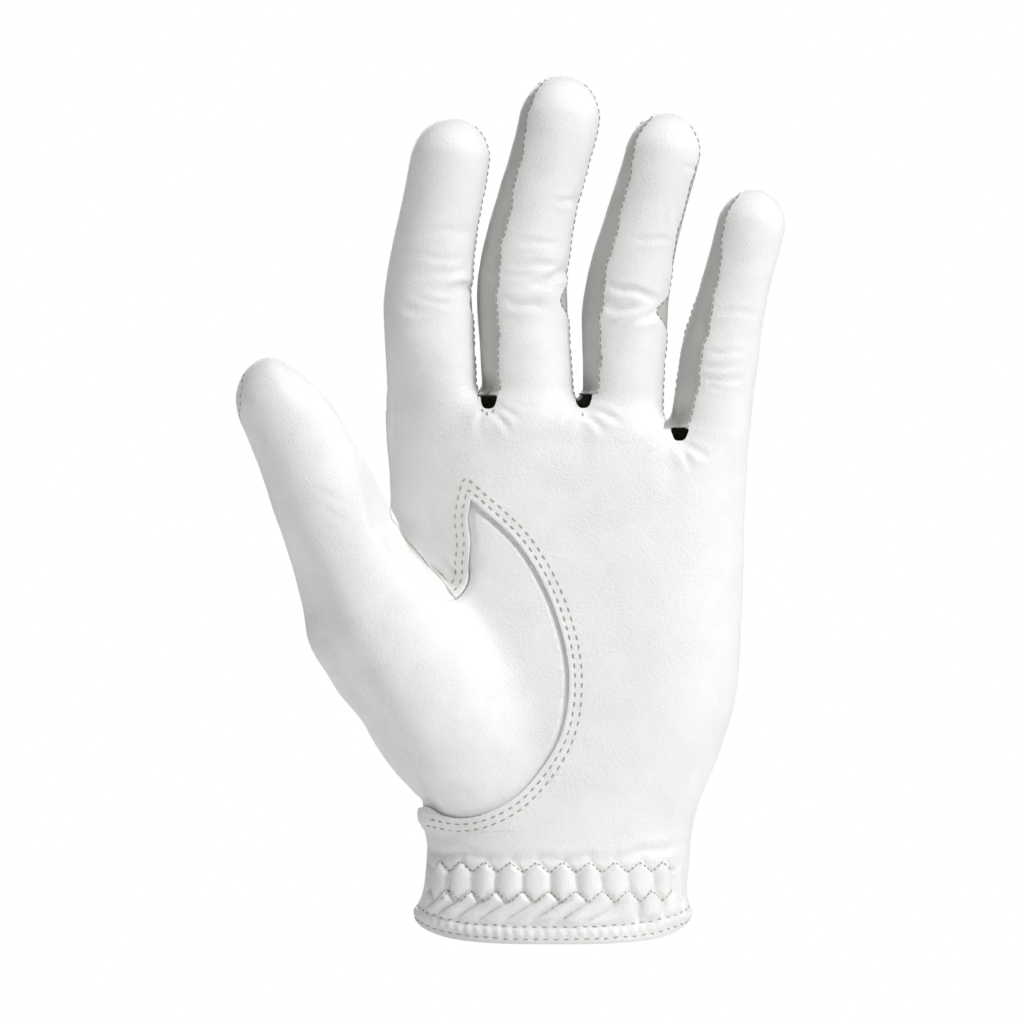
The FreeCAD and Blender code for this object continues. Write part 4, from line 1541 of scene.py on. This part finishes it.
# Back fittings ----------------------------------------------------------------------------------
TAB_BOX = [v * 1000 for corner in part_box("closure_tab") for v in corner]
TAB_LEFT, TAB_LOW, TAB_RIGHT, TAB_HIGH = TAB_BOX[0], TAB_BOX[2], TAB_BOX[3], TAB_BOX[5]
TAB_ROUND = 9.0
PATCH_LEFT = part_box("loop_patch")[0].x * 1000
PATCH_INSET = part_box("loop_patch")[0].z * 1000 - TAB_LOW
ANCHOR_LEFT, ANCHOR_RIGHT = (v.x * 1000 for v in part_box("tab_anchor"))


def tab_distance(p, inset=0.0, left=None):
    """Distance from the tab's outline, under 0 inside: square at its root, round at its end."""
    x, z = p[:, 0], p[:, 2]
    left = TAB_LEFT if left is None else left
    r = TAB_ROUND - inset
    middle, half = (TAB_LOW + TAB_HIGH) / 2, (TAB_HIGH - TAB_LOW) / 2 - inset
    over_x = np.maximum(x - (TAB_RIGHT - inset - r), 0)
    over_z = np.maximum(np.abs(z - middle) - (half - r), 0)
    corner = np.where(over_x > 0, np.hypot(over_x, over_z) - r, np.abs(z - middle) - half)
    corner = np.where((over_x > 0) & (over_z == 0), over_x - r, corner)
    return np.maximum(corner, left - x)


def flat_grid(left, right, low, high, grid=GRID):
    """A flat sheet in the XZ plane, facing the back."""
    x = np.arange(left - grid, right + 2 * grid, grid)
    z = np.arange(low - grid, high + 2 * grid, grid)
    grid_x, grid_z = np.meshgrid(x, z, indexing="ij")
    base = np.stack([grid_x.ravel(), np.ones(grid_x.size), grid_z.ravel()], 1)
    index = np.arange(grid_x.size).reshape(grid_x.shape)
    corners = (index[:-1, :-1], index[:-1, 1:], index[1:, 1:], index[1:, :-1])
    faces = np.stack([c.ravel() for c in corners], 1)
    return Skin(base, base.copy(), np.tile(BACK, (len(base), 1)), faces)


def laid(skin, height):
    """A flat sheet laid over the hand's back, height above its form at each point."""
    x, z = skin.base[:, 0], skin.base[:, 2]
    lift = height(skin.base)
    y = palm.back_y(x, z, lift)
    skin.points = np.stack([x, y, z], 1)
    skin.renew_normals()
    return skin


def plate(name, distance, box, height, thickness, materials, body, nodes, edge=0.35):
    """A flat fitting with a rounded edge, laid on the back."""
    skin = clip(flat_grid(*box), distance)
    skin = divide(skin, lambda p: distance(p) + edge, True)
    rounding = lambda p: -0.22 * np.clip(1 + distance(p) / edge, 0, 1) ** 2
    skin = laid(skin, lambda p: height(p) + rounding(p))
    keep_surface(name, skin)
    made = add_sheet(name, skin, thickness, materials)
    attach(made, body)
    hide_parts(*nodes)


STACK = {  # outer height over the hand's back, and thickness
    "loop_patch": (0.62, 0.5),
    "hook_patch": (1.5, 0.6),
    "closure_tab_lining": (1.9, 0.4),
    "closure_tab": (2.75, 0.8),
    "tab_anchor": (1.15, 1.1),
    "slit_binding": (0.65, 0.6),
}


def tab_height(p):
    """The tab's leather: puffed between its border stitches, with a soft roll near its root."""
    inside = -tab_distance(p)
    groove = -0.16 * bell(inside - TAB_STITCH, 0.45)
    puff = 0.35 * ramp(inside, TAB_STITCH, 7.0)
    root = 0.3 * bell(p[:, 0] - TAB_LEFT - 2.0, 2.0)
    pull = 0.18 * np.sin((p[:, 0] + 0.3 * p[:, 2]) * 0.55) * bell(p[:, 0] - 5, 9.0)
    return STACK["closure_tab"][0] + groove + puff + root * 0.5 + pull * 0.5


TAB_STITCH = 1.6


def build_back_fittings():
    box = (TAB_LEFT, TAB_RIGHT, TAB_LOW, TAB_HIGH)
    patch = lambda p: tab_distance(p, PATCH_INSET, PATCH_LEFT)
    fuzz = lambda base: 0.08 * ripple(base, 1.6, 21) + 0.05 * ripple(base, 0.9, 22)
    level = {name: (lambda p, n=name: np.full(len(p), STACK[n][0])) for name in STACK}
    plate("closure_tab_leather", tab_distance, box, tab_height, STACK["closure_tab"][1],
          (leather, suede), "tab", ("closure_tab",))
    plate("closure_tab_underside", lambda p: tab_distance(p) + 0.3, box, level["closure_tab_lining"],
          STACK["closure_tab_lining"][1], (lining, lining), "tab", ("closure_tab_lining",))
    plate("hook_fastener", patch, box, level["hook_patch"], STACK["hook_patch"][1],
          (hook, hook), "tab", ("hook_patch",), 0.25)
    plate("loop_fastener", patch, box, lambda p: level["loop_patch"](p) + fuzz(p),
          STACK["loop_patch"][1], (loop, loop), "hand", ("loop_patch",), 0.25)
    anchor = lambda p: np.maximum(
        np.abs(p[:, 2] - (TAB_LOW + TAB_HIGH) / 2) - (TAB_HIGH - TAB_LOW) / 2,
        np.abs(p[:, 0] - (ANCHOR_LEFT + ANCHOR_RIGHT) / 2) - (ANCHOR_RIGHT - ANCHOR_LEFT) / 2,
    )
    anchor_height = lambda p: STACK["tab_anchor"][0] - 0.14 * bell(-anchor(p) - ANCHOR_STITCH, 0.45)
    plate("tab_anchor_leather", anchor, (ANCHOR_LEFT, ANCHOR_RIGHT, TAB_LOW, TAB_HIGH),
          anchor_height, STACK["tab_anchor"][1], (leather, suede), "hand", ("tab_anchor",))


ANCHOR_STITCH = 1.3
BINDING_OUTER = 2.5


def slit_path(margin, count=120):
    """A route up one side of the slit, round its top and down the other side."""
    half = SLIT_HALF + margin
    top, foot = SLIT_TOP - SLIT_HALF, 5.2
    straight = top - foot
    reach = np.linspace(0, 2 * straight + math.pi * half, count)
    turn = np.clip((reach - straight) / half, 0, math.pi)
    down = np.maximum(reach - straight - math.pi * half, 0)
    x = SLIT_X + half * np.cos(turn)
    z = np.minimum(foot + reach, top) + half * np.sin(turn) - down
    return np.stack([x, palm.back_y(x, z, STACK["slit_binding"][0]), z], 1)


def build_binding():
    """A soft tape folded over the slit's edge: a rounded profile carried round the slit."""
    profile = [(-0.35, -0.9), (-0.55, -0.2), (-0.45, 0.45), (-0.1, 0.62), (0.6, 0.66), (1.3, 0.6)]
    profile += [(1.9, 0.62), (2.35, 0.5), (2.5, 0.1), (2.3, -0.25), (1.0, -0.3), (0.5, -0.95)]
    rings = []
    for margin, height in profile:
        route = slit_path(margin, 150)
        x, z = route[:, 0], route[:, 2]
        rings.append(np.stack([x, palm.back_y(x, z, height), z], 1))
    grid = np.stack(rings, 1)
    count, sides = grid.shape[:2]
    index = np.arange(count * sides).reshape(count, sides)
    faces = []
    for k in range(count - 1):
        for n in range(sides):
            m = (n + 1) % sides
            faces.append([int(index[k, n]), int(index[k, m]), int(index[k + 1, m]), int(index[k + 1, n])])
    faces.append([int(v) for v in index[0][::-1]])
    faces.append([int(v) for v in index[-1]])
    made = add_mesh("slit_binding_tape", grid.reshape(-1, 3), faces, (binding,))
    fix_facing(made)
    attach(made, "hand")
    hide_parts("slit_binding")


def fix_facing(made):
    """Turns all of a closed mesh's faces outward."""
    shape = bmesh.new()
    shape.from_mesh(made.data)
    bmesh.ops.recalc_face_normals(shape, faces=shape.faces)
    shape.to_mesh(made.data)
    shape.free()


def inner_band(name, left, right, low, high, depth, thickness, waves, materials, node, slot, side):
    """A band inside the cuff, depth below the form's surface; side is -1 on the palm side."""
    skin = flat_grid(left, right, low, high, 0.5)
    inside = lambda p: np.maximum(np.abs(p[:, 0] - (left + right) / 2) - (right - left) / 2,
                                  np.abs(p[:, 2] - (low + high) / 2) - (high - low) / 2)
    skin = laid(clip(skin, inside), lambda p: -depth + waves(p))
    skin.points[:, 1] *= side
    if side < 0:
        skin.faces = np.where(skin.faces[:, 3:] >= 0, skin.faces[:, ::-1],
                              skin.faces[:, [2, 1, 0, 3]])
    skin.renew_normals()
    made = add_sheet(name, skin, thickness, materials)
    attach(made, "hand")
    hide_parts(node)


def build_inner_bands():
    low_corner, high_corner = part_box("wrist_elastic")
    left, right = low_corner.x * 1000, high_corner.x * 1000
    ribs = lambda p: 0.16 * np.cos(p[:, 2] * 2 * math.pi / 1.6) + 0.1 * np.cos(p[:, 0] * 1.9)
    inner_band("wrist_elastic_band", left, right, 9.3, 21.3, 1.9, 0.9, ribs,
               (elastic, elastic), "wrist_elastic", "elastic", -1)
    low_corner, high_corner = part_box("care_label")
    box = [v * 1000 for v in (low_corner.x, high_corner.x, low_corner.z, high_corner.z)]
    curl = lambda p: -0.5 * ramp(16 - p[:, 2], 0, 10)
    inner_band("care_label_blank", *box, 1.4, 0.3, curl, (label, label), "care_label", "label", 1)


# Stitches ---------------------------------------------------------------------------------------
def nearest_on(surface, points, limit=2.5):
    """The nearest points of a laid surface and its normals there, and which are within reach."""
    spots, normals, good = [], [], []
    for p in points:
        spot, normal, _, gap = surface.find_nearest(p)
        near = spot is not None and gap < limit
        spots.append(spot if near else p)
        normals.append(normal if near else (0, 1, 0))
        good.append(near)
    return np.array(spots), np.array(normals), np.array(good)


def stitch_row(surface_names, path, pitch, length, start=0.0):
    """Stitches along a path: their starts, ends and normals, as rows of nine numbers."""
    path = np.asarray(path)
    if len(path) < 2:
        return np.zeros((0, 9))
    reach = np.append(0, np.cumsum(np.linalg.norm(np.diff(path, axis=0), axis=1)))
    begin = np.arange(start, reach[-1] - length, pitch)
    if len(begin) == 0:
        return np.zeros((0, 9))
    ends = []
    for place_on in (begin, begin + length):
        ends.append(np.stack([np.interp(place_on, reach, path[:, k]) for k in range(3)], 1))
    best = None
    for name in surface_names:
        if name not in SURFACES:
            continue
        a, n, good_a = nearest_on(SURFACES[name], ends[0])
        b, m, good_b = nearest_on(SURFACES[name], ends[1])
        rows = np.hstack([a, b, n + m])
        off = np.linalg.norm(a - ends[0], axis=1) + 99.0 * ~(good_a & good_b)
        if best is None:
            best, best_off = rows, off
        else:
            better = off < best_off
            best[better], best_off[better] = rows[better], off[better]
    if best is None:
        return np.zeros((0, 9))
    return best[best_off < 50]


RING_REACH = np.array([0.0, 0.16, 0.5, 0.84, 1.0])
RING_LIFT = np.array([-0.26, 0.04, 0.12, 0.04, -0.26])
RING_SIZE = np.array([0.6, 1.0, 1.06, 1.0, 0.6])


def add_stitches(name, rows, bodies, zone=None, nodes=(), radius=THREAD, material=None):
    """One object holding every stitch of a row or rows: small bent threads sunk at both ends."""
    rows = np.vstack(rows)
    if len(rows) == 0:
        return
    a, b, n = rows[:, :3], rows[:, 3:6], rows[:, 6:]
    n = n / np.linalg.norm(n, axis=1)[:, None]
    along = b - a
    side = np.cross(n, along)
    side /= np.linalg.norm(side, axis=1)[:, None]
    centre = a[:, None] + along[:, None] * RING_REACH[:, None] + n[:, None] * RING_LIFT[:, None]
    turns = np.linspace(0, 2 * math.pi, 6, endpoint=False)
    spoke = np.cos(turns)[:, None] * side[:, None] + np.sin(turns)[:, None] * n[:, None]
    points = centre[:, :, None] + radius * RING_SIZE[:, None, None] * spoke[:, None]
    count, rings, corners = points.shape[:3]
    pattern = []
    for ring in range(rings - 1):
        for k in range(corners):
            m = (k + 1) % corners
            first, second = ring * corners, (ring + 1) * corners
            pattern.append([first + k, second + k, second + m, first + m])
    caps = [list(range(corners)), [rings * corners - 1 - k for k in range(corners)]]
    step = rings * corners
    faces = []
    for shape in (pattern, caps):
        block = np.array(shape)[None] + np.arange(count)[:, None, None] * step
        faces += block.reshape(-1, len(shape[0])).tolist()
    made = add_mesh(name, points.reshape(-1, 3), faces, (material or thread_material,), sharp=80)
    place(made, bodies, zone)
    if nodes:
        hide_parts(*nodes)


SEAM_PITCH, SEAM_STITCH = 1.8, 1.5
SEAM_INSET = 0.45


def finger_stitches(name):
    limb = limbs[name]
    cut = limb.middle * LOWER_CUT
    bodies = (("hand", limb.segments[0]), tuple(limb.segments))
    zones = finger_zones(name)
    top = limb.tip - 1.6
    foot = {side: line.foot - limb.origin[2] + 0.4 for side, line in GUSSET_LINES[name].items()}
    spans = (lambda low: (low, cut - 0.3), lambda low: (cut + 0.3, top))
    for segment, pair, zone, span in zip(limb.segments, bodies, zones, spans):
        rows = []
        for side, line in GUSSET_LINES[name].items():
            low, high = span(foot[side])
            for edge, key in (("palm", "palm_side"), ("back", "back_side")):
                path = line.seam(low, high, edge, SEAM_INSET)
                surface = [f"{segment}_{key}_leather"]
                rows.append(stitch_row(surface, path, SEAM_PITCH, SEAM_STITCH))
        if name == "little":
            low, high = span(foot[-1] - 4)
            s = np.linspace(low, high, 200)
            surface = [f"{segment}_back_side_leather"]
            path = limb.point(s, OUTER_EDGE[name][1] + 4.0)
            rows.append(stitch_row(surface, path, SEAM_PITCH, SEAM_STITCH))
        add_stitches(f"{segment}_thread", rows, pair, zone, (), 0.15, seam_thread)


def thumb_stitches():
    bodies = (("hand", thumb.segments[0]), tuple(thumb.segments))
    spans = ((THUMB_START + 0.5, THUMB_CUT - 0.3), (THUMB_CUT + 0.3, thumb.tip - 1.0))
    for segment, pair, zone, (low, high) in zip(thumb.segments, bodies, THUMB_ZONES, spans):
        s = np.linspace(low, high, 200)
        _, half_t = thumb.sizes(s)
        behind = np.clip(thumb_seam_behind(s) / half_t, -0.95, 0.95)
        beside = 6.0 - 13.0 * ramp(thumb.tip - s, 10, 14)
        path = thumb.point(s, -90.0 + beside - np.degrees(np.arcsin(behind)))
        names = [f"{segment}_palm_side_leather", f"{segment}_back_side_leather"]
        rows = [stitch_row(names, path, 2.0, 1.3)]
        add_stitches(f"{segment}_thread", rows, pair, zone)


def offset_line(line, distance):
    """A line moved sideways in the XZ plane, to its left as it runs."""
    way = np.gradient(line, axis=0)
    way /= np.linalg.norm(way, axis=1)[:, None]
    return line + distance * np.stack([-way[:, 1], way[:, 0]], 1)


def on_front(line, names):
    """A line in the XZ plane laid on the palm side of the named leather."""
    points = []
    for x, z in line:
        hits = [SURFACES[name].ray_cast((x, -60.0, z), (0, 1, 0))[0] for name in names]
        found = [hit for hit in hits if hit is not None]
        if found:
            points.append(min(found, key=lambda hit: hit.y))
    return np.array(points).reshape(-1, 3)


def front_row(line, names, pitch, length, start=0.0):
    return stitch_row(names, on_front(line, names), pitch, length, start)


def thumb_seam_rows():
    """Each row follows the branch up, meets its other half above the peak and follows the arc."""
    rows = []
    for gap in THUMB_ROWS:
        halves = []
        for line, way in ((THUMB_BRANCH, -1), (THUMB_ARC, 1)):
            on = line[0] + unit(line[0] - line[2]) * np.linspace(9, 0.3, 30)[:, None]
            halves.append(offset_line(np.vstack([on, line]), way * gap))
        up, down = halves
        gaps = np.linalg.norm(up[:, None] - down[None], axis=2)
        k, m = np.unravel_index(np.argmin(gaps), gaps.shape)
        skipped = int(round(gap * 1.6))
        rows.append(np.vstack([up[k + skipped:][::-1], down[m + skipped:]]))
    return rows


PALM_NAMES = ["palm_leather", "palm_cuff_leather"]


def thumb_seam_stitches():
    rows = [front_row(line, PALM_NAMES, 2.4, 1.45) for line in thumb_seam_rows()]
    add_stitches("thumb_seam_stitches", rows, HAND, None, ("thumb_seam_thread",))


def zigzag_stitches():
    """The two rows that show the wrist elastic's sewing."""
    rows = []
    for row in (upper_row, lower_row):
        reach = np.linspace(-31, 31, 900)
        x = np.interp(reach, WRIST_REACH, WRIST_W * np.sin(WRIST_TURN)) + float(palm.centre(15.0))
        line = np.stack([x, row(reach)], 1)
        rows.append(front_row(line, PALM_NAMES, 1.4, 1.0))
    add_stitches("zigzag_stitches", rows, HAND, None, ("zigzag_thread",))


def hem_stitches():
    rows = []
    for height in HEM_ROWS:
        turn = np.linspace(-math.pi, math.pi, 800) + math.pi
        x = palm.centre(height) + WRIST_W * 1.03 * np.sin(turn)
        y = -WRIST_T * 1.03 * np.cos(turn)
        route = np.stack([x, y, hem_edge(y) + height], 1)
        clear = np.abs(x - SLIT_X) > SLIT_HALF + BINDING_OUTER + 0.6
        route = route[clear | (y < 0)]
        rows.append(stitch_row(["cuff_hem_leather"], route, HEM_PITCH, 1.35))
    add_stitches("hem_stitches", rows, HAND, None, ("hem_thread",), 0.14)


def side_seam_stitches():
    z = np.linspace(7.5, 121, 500)
    x = palm.centre(z) + palm.half_w(z)
    path = np.stack([x, np.full(len(z), SIDE_SEAM_Y + 1.3), z], 1)
    rows = [stitch_row(["back_leather", "back_cuff_leather"], path, 2.0, 1.25)]
    add_stitches("side_seam_stitches", rows, HAND)


def crotch_stitches():
    """A few short stitches that gather the palm's leather below each vent."""
    rows = []
    for x, z in VENTS:
        for dx, dz, way in ((-1.3, -2.6, 0.5), (1.2, -2.7, -0.5), (-0.2, -3.4, 0.1)):
            line = np.array([(x + dx - 0.7 * way, z + dz + 0.75), (x + dx + 0.7 * way, z + dz - 0.75)])
            line = curve_through(np.vstack([line[:1], line.mean(0)[None], line[1:]]), 8)
            rows.append(front_row(line, PALM_NAMES, 3.0, 1.2))
    add_stitches("crotch_stitches", rows, HAND)


def back_stitches():
    rows = [stitch_row(["closure_tab_leather"], tab_border(), 2.2, 1.4)]
    add_stitches("tab_stitches", rows, ("tab",), None, ("tab_thread",))
    rows = [binding_row(slit_path(1.6, 300))]
    add_stitches("binding_stitches", rows, HAND, None, ("binding_thread",))
    left, right = ANCHOR_LEFT + ANCHOR_STITCH, ANCHOR_RIGHT - ANCHOR_STITCH
    low, high = TAB_LOW + ANCHOR_STITCH, TAB_HIGH - ANCHOR_STITCH
    corners = [(left, low), (right, low), (right, high), (left, high), (left, low)]
    rows = []
    for a, b in zip(corners, corners[1:]):
        line = np.linspace(a, b, 40)
        path = np.stack([line[:, 0], palm.back_y(line[:, 0], line[:, 1], 1.1), line[:, 1]], 1)
        rows.append(stitch_row(["tab_anchor_leather"], path, 2.2, 1.4, 0.3))
    add_stitches("anchor_stitches", rows, HAND)


def tab_border():
    """The route of the tab's border stitches, inside its edge."""
    inset = TAB_STITCH
    r = TAB_ROUND - inset
    low, high, right = TAB_LOW + inset, TAB_HIGH - inset, TAB_RIGHT - inset
    left = TAB_LEFT + inset
    turn = np.linspace(-math.pi / 2, math.pi / 2, 60)
    bend = np.where(turn < 0, low + r, high - r)
    arc = np.stack([right - r + r * np.cos(turn), bend + r * np.sin(turn)], 1)
    line = np.vstack([[(left, high)], [(left, low)], arc, [(left, high)]])
    x, z = line.T
    reach = np.append(0, np.cumsum(np.hypot(np.diff(x), np.diff(z))))
    even = np.linspace(0, reach[-1], 400)
    x, z = np.interp(even, reach, x), np.interp(even, reach, z)
    return np.stack([x, palm.back_y(x, z, STACK["closure_tab"][0]), z], 1)


def binding_row(path):
    """Stitches laid straight on the binding, whose surface follows the hand's back."""
    reach = np.append(0, np.cumsum(np.linalg.norm(np.diff(path, axis=0), axis=1)))
    begin = np.arange(0.4, reach[-1] - 1.4, 2.2)
    spots = []
    for at in (begin, begin + 1.4):
        spots.append(np.stack([np.interp(at, reach, path[:, k]) for k in range(3)], 1))
    normals = slope(palm.side, (spots[0] + spots[1]) / 2)
    return np.hstack([spots[0], spots[1], normals])


for finger in FINGERS:
    build_finger(finger)
build_hand()
build_thumb()
build_back_fittings()
build_binding()
build_inner_bands()
for finger in FINGERS:
    finger_stitches(finger)
thumb_stitches()
thumb_seam_stitches()
zigzag_stitches()
hem_stitches()
side_seam_stitches()
crotch_stitches()
back_stitches()


# Stage --------------------------------------------------------------------------------------
def aim(obj, target):
    way = np.asarray(target, float) - np.array(obj.location)
    obj.rotation_euler = Vector(way).to_track_quat("-Z", "Y").to_euler()


def add_area(name, place, target, size, power):
    light = bpy.data.lights.new(name, "AREA")
    light.size = size
    light.energy = power
    made = bpy.data.objects.new(name, light)
    bpy.context.scene.collection.objects.link(made)
    made.location = place
    aim(made, target)


AMBIENT, KEY_POWER, TOP_POWER, BACK_POWER = 0.25, 17.5, 10.0, 16.0
FLOOR_SIZE, FLOOR_DROP = 6.0, 0.0006


def add_floor():
    """A plain white floor, lit evenly so that it runs into the white background."""
    made = Material("floor", (0.9, 0.9, 0.9), 0.8)
    glow = made.add("ShaderNodeEmission", {"Color": (1, 1, 1, 1), "Strength": 1.0})
    rays = made.add("ShaderNodeLightPath")
    mix = made.add("ShaderNodeMixShader", {0: rays.outputs["Is Camera Ray"]})
    made.links.new(made.shader.outputs[0], mix.inputs[1])
    made.links.new(glow.outputs[0], mix.inputs[2])
    made.links.new(mix.outputs[0], made.nodes["Material Output"].inputs["Surface"])
    half = FLOOR_SIZE / 2
    mesh = bpy.data.meshes.new("floor")
    corners = [(-half, -half, -FLOOR_DROP), (half, -half, -FLOOR_DROP)]
    corners += [(half, half, -FLOOR_DROP), (-half, half, -FLOOR_DROP)]
    mesh.from_pydata(corners, [], [(0, 1, 2, 3)])
    mesh.materials.append(made.material)
    floor = bpy.data.objects.new("floor", mesh)
    bpy.context.scene.collection.objects.link(floor)


def build_stage():
    centre = np.array([-0.0105, 0.0, 0.107])
    world = bpy.data.worlds.new("studio")
    bpy.context.scene.world = world
    world.use_nodes = True
    nodes, links = world.node_tree.nodes, world.node_tree.links
    background = nodes["Background"]
    background.inputs["Color"].default_value = (1, 1, 1, 1)
    background.inputs["Strength"].default_value = AMBIENT
    shown = nodes.new("ShaderNodeBackground")
    shown.inputs["Color"].default_value = (1, 1, 1, 1)
    rays = nodes.new("ShaderNodeLightPath")
    mix = nodes.new("ShaderNodeMixShader")
    links.new(rays.outputs["Is Camera Ray"], mix.inputs["Fac"])
    links.new(background.outputs[0], mix.inputs[1])
    links.new(shown.outputs[0], mix.inputs[2])
    links.new(mix.outputs[0], nodes["World Output"].inputs["Surface"])
    add_area("key", (1.15, -0.95, 0.95), centre, 0.5, KEY_POWER)
    add_area("top", (0.1, -0.5, 1.7), centre, 0.8, TOP_POWER)
    add_area("back", (-0.4, 1.7, 0.8), centre, 0.8, BACK_POWER)
    add_floor()
    camera = bpy.data.cameras.new("camera")
    camera.sensor_width = 36
    distance = 2.0
    camera.lens = 36 * distance / 0.256
    made = bpy.data.objects.new("camera", camera)
    bpy.context.scene.collection.objects.link(made)
    made.location = (centre[0], -distance, centre[2])
    made.rotation_euler = (math.pi / 2, 0, 0)
    bpy.context.scene.camera = made
    bpy.context.scene.view_settings.view_transform = "Standard"


build_stage()
